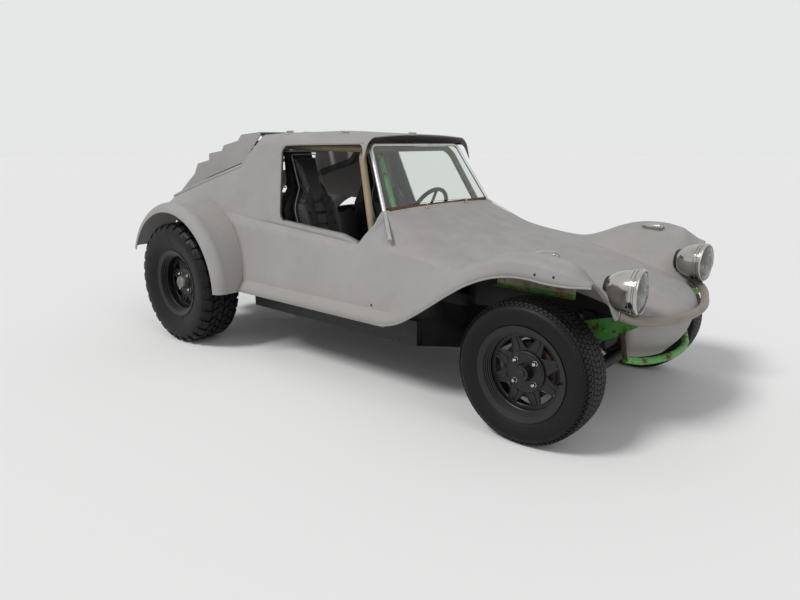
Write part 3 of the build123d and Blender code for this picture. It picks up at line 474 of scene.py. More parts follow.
def bar(bm, size, place, edge=1.0):
    """A block of this size in mm with rounded edges."""
    made = bmesh.ops.create_cube(bm, size=1, matrix=place @ Matrix.Diagonal((*[s * MM for s in size], 1)))
    edges = list({e for v in made["verts"] for e in v.link_edges})
    bmesh.ops.bevel(bm, geom=edges, offset=edge * MM, segments=2, affect="EDGES", profile=0.5)


def both_sides(maker, bm):
    """The same form on the right, and mirrored on the left."""
    for side in (-1, 1):
        maker(bm, side)


def piece(bm, name, finish, body="root", slot=None, replaces=(), sharp=35, wall=0, inside=None):
    """Turn a mesh under way into a piece of the car. A thin wall, in mm, grows to the side of the inside point."""
    bmesh.ops.recalc_face_normals(bm, faces=bm.faces)
    if inside is not None:
        bm.normal_update()
        outward = sum((f.calc_center_median() - Vector(inside) * MM).dot(f.normal) * f.calc_area() for f in bm.faces)
        if outward < 0:
            bmesh.ops.reverse_faces(bm, faces=bm.faces)
    mesh = bpy.data.meshes.new(name)
    bm.to_mesh(mesh)
    bm.free()
    made = bpy.data.objects.new(name, mesh)
    bpy.context.scene.collection.objects.link(made)
    mesh.materials.append(finishes[finish])
    mesh.shade_smooth()
    mesh.set_sharp_from_angle(angle=radians(sharp))
    if wall:
        shell = made.modifiers.new("wall", "SOLIDIFY")
        shell.thickness = wall * MM
        shell.offset = -1
    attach(made, body)
    if replaces:
        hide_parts(*replaces)
    return made


def surface_of(*objects):
    """What rays meet on these objects."""
    points, faces = [], []
    for one in objects:
        start = len(points)
        points += [one.matrix_world @ v.co for v in one.data.vertices]
        faces += [[start + i for i in f.vertices] for f in one.data.polygons]
    return BVHTree.FromPolygons(points, faces)


def hit(surface, point, direction):
    """Where a ray from a point in mm meets the surface, in mm, and which way the surface looks there."""
    spot, normal, _, _ = surface.ray_cast(Vector(point) * MM, Vector(direction).normalized())
    if spot is None:
        raise RuntimeError(f"nothing is met from {point} along {direction}")
    if normal.dot(Vector(direction)) > 0:
        normal = -normal
    return spot / MM, normal


def facing(point, normal):
    """A place at a point in mm, with local Z along the normal."""
    turn = Vector((0, 0, 1)).rotation_difference(normal)
    return Matrix.Translation(Vector(point) * MM) @ turn.to_matrix().to_4x4()


# Moulded body. The stations are STATION_STEP apart and hold y and z on one side, from the lip through the
# crease, side, belt and shoulder to the hood's edge, and the height of the middle.
BODY_FRONT_X = 215
STATION_STEP = 94
SILL_Z = 390
FLANGE_Y = 750
CREASE = (700, 450)
WALL = (674, 580)           # middle of the side between the crease and the belt
BODY_STATIONS = (
    ((FLANGE_Y, SILL_Z), CREASE, WALL, (624, 746), (578, 831), (492, 907), 912),
    ((FLANGE_Y, SILL_Z), CREASE, WALL, (624, 738), (570, 810), (489, 880), 906),
    ((FLANGE_Y, SILL_Z), CREASE, WALL, (625, 731), (564, 787), (487, 843), 889),
    ((750, 393), (702, 452), (674, 581), (629, 724), (566, 768), (485, 809), 859),
    ((750, 420), (712, 475), (677, 596), (636, 717), (572, 754), (482, 778), 831),
    ((750, 473), (727, 527), (688, 621), (647, 710), (579, 741), (480, 755), 809),
    ((750, 535), (734, 591), (704, 653), (667, 703), (592, 727), (479, 738), 791),
    ((750, 599), (735, 659), (715, 692), (684, 712), (603, 721), (474, 721), 776),
    ((750, 656), (735, 716), (722, 733), (690, 744), (608, 742), (464, 704), 764),
    ((747, 697), (737, 756), (724, 770), (690, 780), (610, 774), (448, 687), 748),
    ((744, 720), (744, 779), (728, 794), (690, 802), (610, 795), (429, 663), 732),
    ((744, 725), (744, 784), (728, 799), (690, 808), (610, 800), (414, 646), 714),
    ((744, 717), (744, 775), (728, 791), (694, 802), (605, 789), (400, 621), 689),
    ((740, 716), (738, 759), (717, 771), (675, 777), (588, 750), (392, 596), 659),
    ((706, 716), (698, 738), (672, 727), (624, 696), (540, 612), (386, 563), 612),
)
BODY_END_X = BODY_FRONT_X + STATION_STEP * (len(BODY_STATIONS) - 1)
BELT_Y = 624
BELT_AT = (540, 721)        # a point of the belt line in side view, and its rise towards the rear
BELT_SLOPE = 0.0757
BELT_SHELF = 70             # the shelf inside the belt line is this wide, and its inner edge this deep
BELT_DROP = 40
DOOR_SILL = (-405, 812, 0.0718)     # a point of the opening's lower edge, x and z, and its fall forwards
SILL_CAP = (-640, 210)      # ends of the moulding under the opening; it rises over 200 mm and falls over 120
CAP_INNER_Y = 580
SILL_FLOOR = (-664, 505, 73)        # ends and step of the strip that closes the sill
SILL_INNER_Y = 530
FENDER_TIP = (24, 120, 600, 110)    # pull back of the tips, over which length, from which y, and over which width
TURN_DOWN = (20, 26, 62)    # how far the fenders' last edge is turned forwards, inwards and down
TURN_ROWS = 6
ARCH = (-1170, 381, 503)    # rear wheel arch in side view: x, z and radius
ARCH_SECTION_X = -820       # the cross-section that stands for the side where it meets the arch
COWL_LINE = ((215, 700), (219, 740), (285, 845), (268, 920))    # side view of the body's rear edge: x, z
INSIDE_BODY = (400, 0, 420)         # a point that the shell's thickness grows towards


def belt_z(x):
    """Height of the body's upper edge beside the cabin."""
    return BELT_AT[1] + (BELT_AT[0] - x) * BELT_SLOPE


def cowl_x(z):
    """Where the body starts at this height."""
    for (x0, z0), (x1, z1) in zip(COWL_LINE, COWL_LINE[1:]):
        if z < z1:
            return x0 + (x1 - x0) * max(z - z0, 0) / (z1 - z0)
    return COWL_LINE[-1][0]


def across_body(row):
    """Points of one cross-section, from the right lip over the hood to the left lip."""
    lip, crease, wall, belt, shoulder, edge = [(-row[i], row[i + 1]) for i in range(0, 12, 2)]
    half = [lip, ((lip[0] + crease[0]) / 2, (lip[1] + crease[1]) / 2)]
    half += bow(crease, wall, belt, 8) + bow(belt, shoulder, edge, 9)
    middle = bow(edge, (0, row[12]), (-edge[0], edge[1]), 28)
    return half + middle + [(-y, z) for y, z in reversed(half + middle[:1])]


def sill_z(x):
    """Height of the opening's lower edge."""
    return DOOR_SILL[1] - (x - DOOR_SILL[0]) * DOOR_SILL[2]


def body_rows():
    """Cross-sections from the cowl to the lamps, as points in mm. The fenders' ends are turned down."""
    flat = [[number for pair in row[:-1] for number in pair] + [row[-1]] for row in BODY_STATIONS]
    pull, pull_length, pull_y, pull_width = FENDER_TIP
    steps = 6
    rows = []
    for index, row in enumerate(smooth_rows(flat, steps)):
        along = BODY_FRONT_X + STATION_STEP * index / steps
        shared = max(0, 1 - index / steps)
        pulled = pull * max(0, 1 - (BODY_END_X - along) / pull_length)
        rows.append([])
        for y, z in across_body(row):
            back = pulled * max(0, (abs(y) - pull_y) / pull_width) ** 2
            rows[-1].append((along + (cowl_x(z) - BODY_FRONT_X) * shared - back, y, z))
    end = rows[-1]
    forwards, inwards, down = TURN_DOWN
    for index in range(1, TURN_ROWS + 1):
        share = index / TURN_ROWS
        edge = []
        for x, y, z in end:
            # Full between the hood's edge and the fender's crown, and none at the lip
            weight = clamped((abs(y) - 440) / 130) * (1 - clamped((abs(y) - 570) / 130))
            edge.append((x + forwards * sin(share * 1.5) * weight,
                         y - y / FLANGE_Y * inwards * share ** 2 * weight, z - down * share ** 1.6 * weight))
        rows.append(edge)
    return rows


def side_section(x):
    """Points of the cabin side's cross-section, from the lip to the belt."""
    low = [(FLANGE_Y, SILL_Z), ((FLANGE_Y + CREASE[0]) / 2, (SILL_Z + CREASE[1]) / 2)]
    return low + bow(CREASE, WALL, (BELT_Y, belt_z(x)), 8) + [(BELT_Y, belt_z(x))]


def side_behind(bm, side):
    """Side of the cabin from the cowl back to the rear wheel arch, the shelf inside its upper edge, the moulding
    that rises from it to the door opening, and the strip that closes the sill."""
    starts = [cowl_x(z) for _, z in side_section(BODY_FRONT_X)]
    ends = [ARCH[0] + sqrt(ARCH[2] ** 2 - (z - ARCH[1]) ** 2) for _, z in side_section(ARCH_SECTION_X)]
    rows = []
    for share in evenly(0, 1, 24):
        stations = [start + (end - start) * share for start, end in zip(starts, ends)]
        rows.append([(x, side * side_section(x)[column][0], side_section(x)[column][1])
                     for column, x in enumerate(stations)])
    skin(bm, rows)
    inner = BELT_Y - BELT_SHELF
    skin(bm, [[(x, side * BELT_Y, belt_z(x)), (x, side * (inner + 8), belt_z(x)), (x, side * inner, belt_z(x) - 8),
               (x, side * inner, belt_z(x) - BELT_DROP)] for x in evenly(starts[-1], ends[-1], 20)])
    cap, (rear, front) = [], SILL_CAP
    for x in evenly(rear, front, 29):
        belt = belt_z(x)
        top = belt + 2 + (sill_z(x) + 4 - belt) * min(1, (front - x) / 120, (x - rear) / 200)
        cap.append([(x, side * y, z) for y, z in ((BELT_Y - 1, belt - 3), (BELT_Y - 1, (top + belt) / 2),
                                                  (BELT_Y - 3, top - 1), (BELT_Y - 12, top + 1), (CAP_INNER_Y, top))])
    skin(bm, cap)
    skin(bm, [[(x, side * y, SILL_Z + 2) for y in (SILL_INNER_Y, FLANGE_Y - 1)] for x in range(*SILL_FLOOR)])


class BUGGY_OT_body(bpy.types.Operator):
    """Mould the body from the lamps to the rear wheels, with its nose"""
    bl_idname = "buggy.body"
    bl_label = "Moulded Body"

    def execute(self, context):
        bm = bmesh.new()
        rows = body_rows()
        skin(bm, rows)
        skin(bm, [[(x, y, z) for y, z in bow((-half, edge), (0, middle), (half, edge), 28)] + [(x, half, edge)]
                  for x, half, edge, middle in smooth_rows(NOSE_STATIONS, 5)])
        both_sides(side_behind, bm)
        bmesh.ops.remove_doubles(bm, verts=bm.verts, dist=1.2 * MM)
        piece(bm, "moulded_body", "body", slot="body_primer", inside=INSIDE_BODY, sharp=28,
              wall=context.scene.buggy_sizes.body_wall / MM,
              replaces=("hood", "front_fender_left", "front_fender_right", "side_panel_left", "side_panel_right"))
        make_nose()
        make_edges(rows)
        return {"FINISHED"}


NOSE_STATIONS = (
    # x, half width, edge z, middle z
    (BODY_END_X, 386, 563, 612),
    (1572, 338, 547, 589),
    (1612, 272, 531, 567),
    (1648, 180, 518, 545),
    (1678, 70, 505, 518),
)
VALANCE_LEVELS = (
    # z, x and y at the side, x in the middle
    (310, 1470, 215, 1574),
    (390, 1500, 300, 1640),
    (470, 1520, 350, 1670),
    (512, 1524, 364, 1676),
    (548, 1524, 372, 1640),
)


def make_nose():
    """Bowed panel under the hood's tip."""
    bm = bmesh.new()
    skin(bm, [[(x, y, z) for x, y in bow((back, -side), (front, 0), (back, side), 24)] + [(back, side, z)]
              for z, back, side, front in smooth_rows(VALANCE_LEVELS, 5)])
    piece(bm, "moulded_nose", "body", slot="body_primer", replaces=("nose_valance",), wall=6,
          inside=(1400, 0, 400), sharp=40)


ARCH_ROWS = slice(16, -6)       # the rows that lie over the front wheels


def make_edges(rows):
    """Rolled edges of the front wheel arches, which stiffen the thin shell."""
    bm = bmesh.new()
    for end in (0, -1):
        lip = [row[end] for row in rows[ARCH_ROWS]]
        inward = -3 if lip[0][1] > 0 else 3
        sweep(bm, [(x, y + inward, z + 2) for x, y, z in lip], circle(5, 8))
    piece(bm, "rolled_arch_edges", "body", slot="body_primer")


# Sheets that hang from the body: distance from the middle, both ends, and how many steps lie between them
INNER_PANEL = (500, 975, 1355, 25)
INNER_LOW = (624, 616)      # height of the inner panel's lower edge, rear and front
INNER_BOLTS = (1010, 1110, 1215, 1310)
INNER_BOLTS_Z = 646
SPLASH_SHEET = (300, 700, 1500, 23)


def hung_sheet(bm, side, sheet, body, start_z, low_edge):
    """A sheet that hangs from the body, found by rays from start_z upwards, down to its folded lower edge, which
    low_edge gives as points of (outwards, z) for a share of the sheet's length."""
    y, rear, front, steps = sheet
    rows = []
    for index, x in enumerate(evenly(rear, front, steps)):
        top = hit(body, (x, side * y, start_z), (0, 0, 1))[0].z
        rows.append([(x, side * (y + out), z) for out, z in low_edge(index / steps)] + [(x, side * y, top - 2)])
    skin(bm, rows)


def inner_edge(share):
    """Lower edge of the inner panel: it is folded outwards, and falls forwards."""
    low = INNER_LOW[0] + (INNER_LOW[1] - INNER_LOW[0]) * share
    return (16, low), (3, low), (0, low + 4)


def splash_edge(_):
    """Lower edge of the splash sheet, folded inwards."""
    return (-14, 452), (-2, 453), (0, 465)


class BUGGY_OT_inner_panels(bpy.types.Operator):
    """Fold the painted panels inside the front fenders, and the black splash sheets further in"""
    bl_idname = "buggy.inner_panels"
    bl_label = "Inner Fender Panels"

    def execute(self, context):
        body = surface_of(bpy.data.objects["moulded_body"])
        panels, sheets = bmesh.new(), bmesh.new()
        for side in (-1, 1):
            hung_sheet(panels, side, INNER_PANEL, body, 560, inner_edge)
            for x in INNER_BOLTS:
                turned(panels, ((0, 5), (7, 4.5), (8, 2), (8, 0), (0, 0)), 6,
                       at(x, side * (INNER_PANEL[0] + 1), INNER_BOLTS_Z, (side * -90, 0, 0)))
            hung_sheet(sheets, side, SPLASH_SHEET, body, 470, splash_edge)
        piece(panels, "inner_fender_panels", "inner", slot="brace_green", wall=2, inside=(1200, 0, 640))
        piece(sheets, "splash_sheets", "chassis", slot="chassis_black", wall=2, inside=(1200, 0, 600))
        return {"FINISHED"}


# Headlamps: middle of the rim, how many degrees they look inwards, and the glass
LAMP = (1601, 427, 667)
LAMP_TURN = 5
GLASS_R = 84
GLASS_DOME = 17
FLUTE_PITCH = 9
FLUTE_DEPTH = 0.9
FLUTES_END_R = 80           # the flutes fade out towards this radius


def lamp_place(side):
    """Local Z looks out of the lamp."""
    return at(LAMP[0], side * LAMP[1], LAMP[2], (0, 90, -side * LAMP_TURN))


def lamp_shell(bm, side):
    """Bullet shell with a stepped trim ring."""
    tail = [(r, h) for h, r in bow((-157, 0), (-119, 63), (-36, 86), 14)]
    rim = [(86, -40), (90, -39), (90.5, -33), (87, -32), (87, -26), (91, -25), (91.5, -19), (88, -18), (88, -13),
           (93, -12), (95.3, -9), (95.3, -4), (94, -1), (91, 2), (87, 3), (85, 1), (84, -3), (82, -3), (82, -36)]
    turned(bm, tail + rim, 56, lamp_place(side))
    bar(bm, (8, 12, 5), lamp_place(side) @ at(93, 0, -10), 1.2)


def lamp_reflector(bm, side):
    """Deep bowl behind the glass, with the bulb's holder in the middle."""
    bowl = [(12 + 71 * share, -62 + 58 * share ** 2) for share in evenly(0, 1, 12)]
    turned(bm, [(0, -62)] + bowl, 56, lamp_place(side))
    turned(bm, ((0, -34), (9, -36), (11, -42), (9, -50), (9, -62)), 20, lamp_place(side))


def lamp_glass(bm, side):
    """Domed glass pressed with upright flutes 9 mm apart."""
    rings, place, sides = [], lamp_place(side), 96
    for radius in evenly(0, GLASS_R, 26):
        rings.append([])
        for i in range(sides):
            point = polar(radius, tau * i / sides, 0)
            fade = max(0, 1 - (radius / FLUTES_END_R) ** 6)
            flute = FLUTE_DEPTH * fade * cos(tau * point.y / FLUTE_PITCH)
            point.z = 1 + GLASS_DOME * (1 - (radius / GLASS_R) ** 2) + flute
            rings[-1].append(place @ (point * MM) / MM)
    skin(bm, rings, closed=True)


SIGNAL = (1205, 600, 802)       # rear end of the bullet on the fender


def signal_place(side):
    """Local Z runs forwards along the bullet."""
    return at(SIGNAL[0], side * SIGNAL[1], SIGNAL[2], (0, 90, 0))


def signal_body(bm, side):
    """Chrome bullet on its foot."""
    profile = ((0, 0), (6, 2), (12, 14), (17, 34), (20, 62), (20.5, 92), (21.5, 93), (21.5, 99), (20, 100), (0, 100))
    turned(bm, profile, 28, signal_place(side))
    bar(bm, (70, 26, 8), at(SIGNAL[0] + 62, side * SIGNAL[1], SIGNAL[2] - 12), 3)


def signal_lens(bm, side):
    """Clear tip of the bullet."""
    turned(bm, ((20, 100), (19, 106), (14, 113), (7, 117), (0, 118)), 28, signal_place(side))


def lamp_gasket(bm, side):
    """Rubber ring where the wires leave the shell."""
    turned(bm, ((40, -142), (50, -144), (54, -137), (49, -129), (40, -133)), 36, lamp_place(side), loop=True)


TAIL_LAMP = (-1680, 420, 720)


def tail_lamp_rings(bm):
    """Chrome rings round the tail lamps. Each is laid twice in one place, and the doubled faces shade it dark."""
    x, y, z = TAIL_LAMP
    for place in (at(x, -y, z, (0, -90, 0)), at(x, y, z, (0, -90, 0))) * 2:
        turned(bm, ((46, 0), (54, 0), (55, 5), (52, 9), (48, 9), (47, 6)), 40, place, loop=True)


# Bumper: where the bar's ends are plugged, the paths of both tubes, the plates in side view, and the straps
BAR_CAP = (1530, 472, 569)
BAR_PATH = [(1533, -470, 568), (1610, -415, 538), (1698, -120, 520), (1698, 120, 520), (1610, 415, 538),
            (1533, 470, 568)]
LOOP_PATH = [(1535, -372, 360), (1580, -270, 330), (1640, -100, 325), (1640, 100, 325), (1580, 270, 330),
             (1535, 372, 360)]
PLATE_Y = 372
PLATE = ((1345, 430), (1345, 495), (1480, 535), (1600, 545), (1600, 524), (1500, 455), (1440, 425))
PLATE_BOLTS = ((1372, 450), (1372, 474), (1440, 470))
PLATE_THICK = 5
STRAP_PATH = [(1512, -379, 470), (1524, -379, 440), (1530, -377, 400), (1536, -373, 362)]


def bumper_plate(bm, side):
    """Plate from the front beam to the bumper, with its three bolts."""
    outline = rounded([(x, side * PLATE_Y, z) for x, z in PLATE], 10, 3, closed=True)
    near, far = [[bm.verts.new((p + Vector((0, side * out, 0))) * MM) for p in outline] for out in (0, PLATE_THICK)]
    bm.faces.new(near)
    bm.faces.new(far)
    for i in range(len(outline)):
        j = (i + 1) % len(outline)
        bm.faces.new((near[i], near[j], far[j], far[i]))
    for x, z in PLATE_BOLTS:
        turned(bm, ((9, 0), (9, 6), (7, 8), (0, 8.5)), 6, at(x, side * (PLATE_Y + PLATE_THICK), z, (-90 * side, 0, 0)))


def bar_cap(bm, side):
    """Rounded plug in the end of the bumper's tube."""
    turned(bm, ((0, 0), (19.5, 0), (20, 4), (17, 9), (8, 12), (0, 12.5)), 20,
           at(BAR_CAP[0], side * BAR_CAP[1], BAR_CAP[2], (side * -75, 0, side * 50)))


def loop_strap(bm, side):
    """Rusty strap that hangs the loop from its plate."""
    sweep(bm, [(x, -y * side, z) for x, y, z in smooth_rows(STRAP_PATH, 4)], flat_bar(22, 5), across=(1, 0, 0.2))


def build(name, finish, *makers, bm=None, **options):
    """One piece from forms that stand on both sides, and from what the mesh holds already."""
    bm = bmesh.new() if bm is None else bm
    for maker in makers:
        both_sides(maker, bm)
    return piece(bm, name, finish, **options)


class BUGGY_OT_lamps(bpy.types.Operator):
    """Make the headlamps with their glass, and the bullet turn signals"""
    bl_idname = "buggy.lamps"
    bl_label = "Lamps"

    def execute(self, context):
        build("lamp_shells", "chrome", lamp_shell, slot="chrome", replaces=("headlight_shells",), sharp=30)
        build("lamp_reflectors", "reflector", lamp_reflector, slot="chrome")
        build("lamp_glasses", "lens", lamp_glass, slot="lens", replaces=("headlight_lenses",), sharp=60, wall=2.5,
              inside=(1500, 0, 667))
        build("signal_bodies", "chrome", signal_body, slot="chrome", replaces=("turn_signals",))
        build("signal_lenses", "signal", signal_lens)
        build("lamp_gaskets", "plastic", lamp_gasket, slot="black_plastic")
        bm = bmesh.new()
        tail_lamp_rings(bm)
        piece(bm, "tail_lamp_rings", "chrome", slot="chrome")
        return {"FINISHED"}


class BUGGY_OT_bumper(bpy.types.Operator):
    """Bend the bumper bar and the loop under it, and cut the plates and straps that carry them"""
    bl_idname = "buggy.bumper"
    bl_label = "Bumper"

    def execute(self, context):
        sizes = context.scene.buggy_sizes
        bar_mesh, loop_mesh = bmesh.new(), bmesh.new()
        sweep(bar_mesh, rounded(BAR_PATH, 110, 9), circle(sizes.bumper_radius / MM, 20))
        sweep(loop_mesh, rounded(LOOP_PATH, 90, 9), circle(sizes.loop_radius / MM, 18))
        build("bumper_tube", "bumper", bar_cap, bm=bar_mesh, slot="bumper_brown", replaces=("bumper_bar",))
        piece(loop_mesh, "bumper_lower_loop", "green", slot="brace_green", replaces=("bumper_loop",))
        build("bumper_plates", "green", bumper_plate, slot="brace_green", replaces=("bumper_brackets",), sharp=30)
        build("loop_straps", "drum", loop_strap, slot="drum_rust")
        return {"FINISHED"}


# Wheels, as the built ones are placed
WHEELS = (
    # name, side, axle x, track, tyre radius, tyre width, rim dish
    ("front_left", 1, 1230, 635, 313, 190, 46),
    ("front_right", -1, 1230, 635, 313, 190, 46),
    ("rear_left", 1, -1170, 750, 381, 256, 70),
    ("rear_right", -1, -1170, 750, 381, 256, 70),
)
RIM_SHARE = 0.72            # the rim's width as a share of the tyre's
BEAD_R, FLANGE_R = 190.3, 210.5     # of a 15 inch rim
WALL_RINGS = ((22, 27), (34, 37))   # raised rings on the tyre's wall, by distance from the bead
RING_HEIGHT = 1.2
TREAD_CELL = 11             # a block's top is divided about this finely, to follow the outline
FOOT_SPREAD = 1.09          # a block's foot is this much wider than its top
WALL_FADE = 26              # the carcass rises from the groove's depth to the wall over this length
LUG_CIRCLE_R = 65
SPOKES = 8
SPOKE_R = 124               # middle of a spoke's rib
WINDOW = [(94, 0, 0), (147, -41, 0), (152, 0, 0), (147, 41, 0)]     # corners between two spokes
VALVE_R = 176
# Profiles of (radius, height): the rim's steps from its outer edge, and the hub caps from the disc
RIM_STEPS = ((187, 3), (183, 1), (183, -5), (179, -7), (179, -13), (174.5, -15), (174.5, -22), (169.5, -24),
             (169.5, -33), (172, -34), (187, -10))
SPOKE_RING = ((88, 7), (90, 9), (86, 11), (80, 9))
LUG_NUT = ((0, 0), (13, 0), (13, 2), (10.8, 3), (10.8, 14), (9, 17), (6, 19), (0, 20))
FRONT_CAP = ((16, 44), (16, 48), (13, 50), (0, 51))
REAR_CAP = ((41.5, 10), (41, 26), (37, 46), (34, 50), (0, 52))
VALVE = ((6, -12), (5.5, 0), (4, 4), (4, 22), (4.8, 23), (4.8, 30), (3, 31), (0, 31))
# Tread rows of each kind of tyre, by distances along its outline from the middle of the tread
ROAD_ROWS = (
    # start, end, blocks round the tyre, share that is rubber, pitches that they are turned on, slant, depth
    (-13, 13, 84, 0.84, 0.0, 0.15, 5),
    (17, 41, 84, 0.84, 0.5, 0.35, 5),
    (45, 62, 84, 0.84, 0.0, -0.35, 5),
    (65, 82, 84, 0.78, 0.5, -0.15, 4),
    (84, 93, 84, 0.45, 0.0, 0.0, 3),
)
TRAIL_ROWS = (
    (4, 36, 40, 0.74, 0.0, 0.55, 10),
    (42, 74, 40, 0.72, 0.5, -0.45, 10),
    (80, 124, 30, 0.62, 0.0, 0.15, 10),
    (126, 150, 30, 0.50, 0.0, 0.0, 6),
)


def tyre_outline(radius, width):
    """Points of (radius, height) from the middle of the tread round to the bead."""
    half = width / 2
    tread, shoulder = (radius - 5, half * 0.78), (radius - 18, half * 0.9)
    flange = (FLANGE_R, half * RIM_SHARE + 9)
    points = bow((radius - 5, -half * 0.78), (radius, 0), tread, 16)[8:] + [tread]
    points += bow(shoulder, ((radius + FLANGE_R - 2) / 2, half - 0.4), flange, 16) + [flange]
    return points + [(BEAD_R, half * RIM_SHARE - 0.3)]


def outline_at(outline, length):
    """Point at this length along the outline, and the direction out of the rubber there."""
    for (r0, z0), (r1, z1) in zip(outline, outline[1:]):
        step = hypot(r1 - r0, z1 - z0)
        if length <= step:
            break
        length -= step
    share = length / step
    return r0 + (r1 - r0) * share, z0 + (z1 - z0) * share, (z1 - z0) / step, (r0 - r1) / step


def rubber_at(outline, length, sink):
    """A point this deep under the outline; negative lengths lie on the other side of the tread."""
    radius, height, out, up = outline_at(outline, abs(length))
    radius, height = radius - out * sink, height - up * sink
    return radius, height if length >= 0 else -height


def tread_block(bm, outline, place, start, end, angle, reach, slant, depth):
    """One block of the tread: its top follows the outline, and its sides lean out to the groove."""
    cells = max(2, round(abs(end - start) / TREAD_CELL))
    tops, feet = [], []
    for i in range(cells + 1):
        length = start + (end - start) * i / cells
        turn = angle + slant * reach * (i / cells - 0.5)
        for points, half, sink in ((tops, reach / 2, 0.0), (feet, reach / 2 * FOOT_SPREAD, depth + 1)):
            radius, height = rubber_at(outline, length, sink)
            points.append([bm.verts.new(place @ (polar(radius, turn + half * side, height) * MM))
                           for side in (-1, 0, 1)])
    for i in range(cells):
        for j in range(2):
            bm.faces.new((tops[i][j], tops[i][j + 1], tops[i + 1][j + 1], tops[i + 1][j]))
            bm.faces.new((feet[i][j], feet[i + 1][j], feet[i + 1][j + 1], feet[i][j + 1]))
        for j in (0, 2):
            bm.faces.new((tops[i][j], tops[i + 1][j], feet[i + 1][j], feet[i][j]))
    for i in (0, -1):
        for j in range(2):
            bm.faces.new((tops[i][j], tops[i][j + 1], feet[i][j + 1], feet[i][j]))


def make_tyre(bm, place, radius, width, rows):
    """Carcass with raised rings on its walls, and the blocks of its tread."""
    outline = tyre_outline(radius, width)
    whole = sum(hypot(b[0] - a[0], b[1] - a[1]) for a, b in zip(outline, outline[1:]))
    tread_end, depth = rows[-1][1], rows[0][6]
    half = []
    for length in evenly(0, whole, 40):
        sunk = depth if length < rows[-2][1] else depth * max(0, 1 - (length - rows[-2][1]) / WALL_FADE)
        from_bead = whole - length
        ring = RING_HEIGHT if any(near < from_bead < far for near, far in WALL_RINGS) else 0
        half.append(rubber_at(outline, length, sunk - ring if length > tread_end + 8 else sunk))
    profile = [(r, -z) for r, z in reversed(half[1:])] + half
    turned(bm, profile, 96, place, loop=True)
    for start, end, count, share, phase, slant, deep in rows:
        for mirror in ((1,) if start < 0 else (1, -1)):
            for index in range(count):
                pitch = tau / count
                shift = phase if mirror > 0 else phase + 0.5
                tread_block(bm, outline, place, start * mirror, end * mirror, (index + shift) * pitch,
                            pitch * share, slant, deep)


def rim_details(bm, place, half, disc):
    """Steps in the barrel, rolled edges round the windows, a pressed rib on each spoke and a ring inside them."""
    turned(bm, [(radius, half + height) for radius, height in RIM_STEPS], 72, place, loop=True)
    for index in range(SPOKES):
        angle = 360 / SPOKES * index
        sweep(bm, rounded(WINDOW, 12, 4, closed=True), flat_bar(7, 5), closed=True,
              place=place @ at(0, 0, disc + 2, (0, 0, angle)))
        bar(bm, (56, 15, 8), place @ at(0, 0, disc + 2, (0, 0, angle + 180 / SPOKES)) @ at(SPOKE_R, 0, 0), 3)
    turned(bm, [(radius, disc + 2 + height) for radius, height in SPOKE_RING], 56, place, loop=True)


class BUGGY_OT_wheels(bpy.types.Operator):
    """Mould the tyres with their tread, and dress the rims with nuts, caps and valves"""
    bl_idname = "buggy.wheels"
    bl_label = "Wheels"

    def execute(self, context):
        for name, side, x, track, radius, width, dish in WHEELS:
            # Local Z looks out of the wheel, and the disc lies inside the rim's edge by its dish
            place, body = at(x, side * track, radius, (-90 * side, 0, 0)), f"wheel_{name}"
            rear = name.startswith("rear")
            half = width / 2 * RIM_SHARE
            disc = half - dish
            tyre, rim, nuts, cap, valve = [bmesh.new() for _ in range(5)]
            make_tyre(tyre, place, radius, width, TRAIL_ROWS if rear else ROAD_ROWS)
            rim_details(rim, place, half, disc)
            for index in range(4):
                turned(nuts, LUG_NUT, 6, place @ at(*polar(LUG_CIRCLE_R, tau * (index + 0.5) / 4, disc + 10)))
            turned(cap, REAR_CAP if rear else FRONT_CAP, 36 if rear else 24, place @ at(0, 0, disc))
            turned(valve, VALVE, 14, place @ at(VALVE_R, 0, disc + 36, (0, -14, 0)))
            piece(tyre, f"treaded_tyre_{name}", "rubber", body, slot="tyre_rubber", sharp=32,
                  replaces=(f"tyre_{name}",))
            piece(rim, f"rim_pressings_{name}", "rim", body, slot="rim_black", sharp=30)
            piece(nuts, f"lug_nuts_{name}", "chrome", body, slot="chrome", sharp=25)
            piece(cap, f"hub_cap_{name}", "alloy" if rear else "rim", body)
            piece(valve, f"valve_{name}", "rubber", body)
        return {"FINISHED"}


# Seats: both pads of the right one, in side view; the left one is its mirror
SEAT_Y = -325
BACK_PAD = ((478, -268), (1168, -478))      # lowest and highest: z and the face's x
SHELL_LINE = ((400, -356), (1190, -546))    # the shell's face behind the back pad: z and x
BASE_PAD = ((-262, 466), (50, 494))         # rear and front: x and the top's z
SHELL_SEAT = ((-360, 400), (60, 440))       # the shell's face under the base pad: x and z
PAD_HALF = 160              # half width of both pads
HEAD_HALF = 88              # and of the back pad beside the head
NARROWS = (850, 980)        # heights between which it gets so narrow
BOLSTER_EDGE = (88, 122)    # where the bolsters start to rise, and where they are full, from the seat's middle
BOLSTER_Y = 104             # their seam
BACK_SEAMS = (560, 630, 700, 770, 840)      # heights of the channels sewn across the back pad
HEAD_SEAM = 905
BASE_SEAMS = (-180, -110, -40)              # x of those across the seat pad
SEAM_DEPTH, CHANNEL_DEPTH, HEAD_DEPTH = 9, 6, 7
VOXEL = 6                   # the pads are remeshed this finely
SWELL_CAP = 22              # no point of a pad moves further than this under the pressure
PRESSURE = 4
SWELL_FRAMES = 20
SHELL_ROUND = 12            # width of the bevel on the built shells


def between(line, value):
    """Second number of a two-point line, at this first number."""
    (a0, b0), (a1, b1) = line
    return b0 + (b1 - b0) * (value - a0) / (a1 - a0)


def back_half(z):
    """Half width of the back pad at this height: full at the ribs, and narrow beside the head."""
    return PAD_HALF - (PAD_HALF - HEAD_HALF) * clamped((z - NARROWS[0]) / (NARROWS[1] - NARROWS[0])) ** 1.5


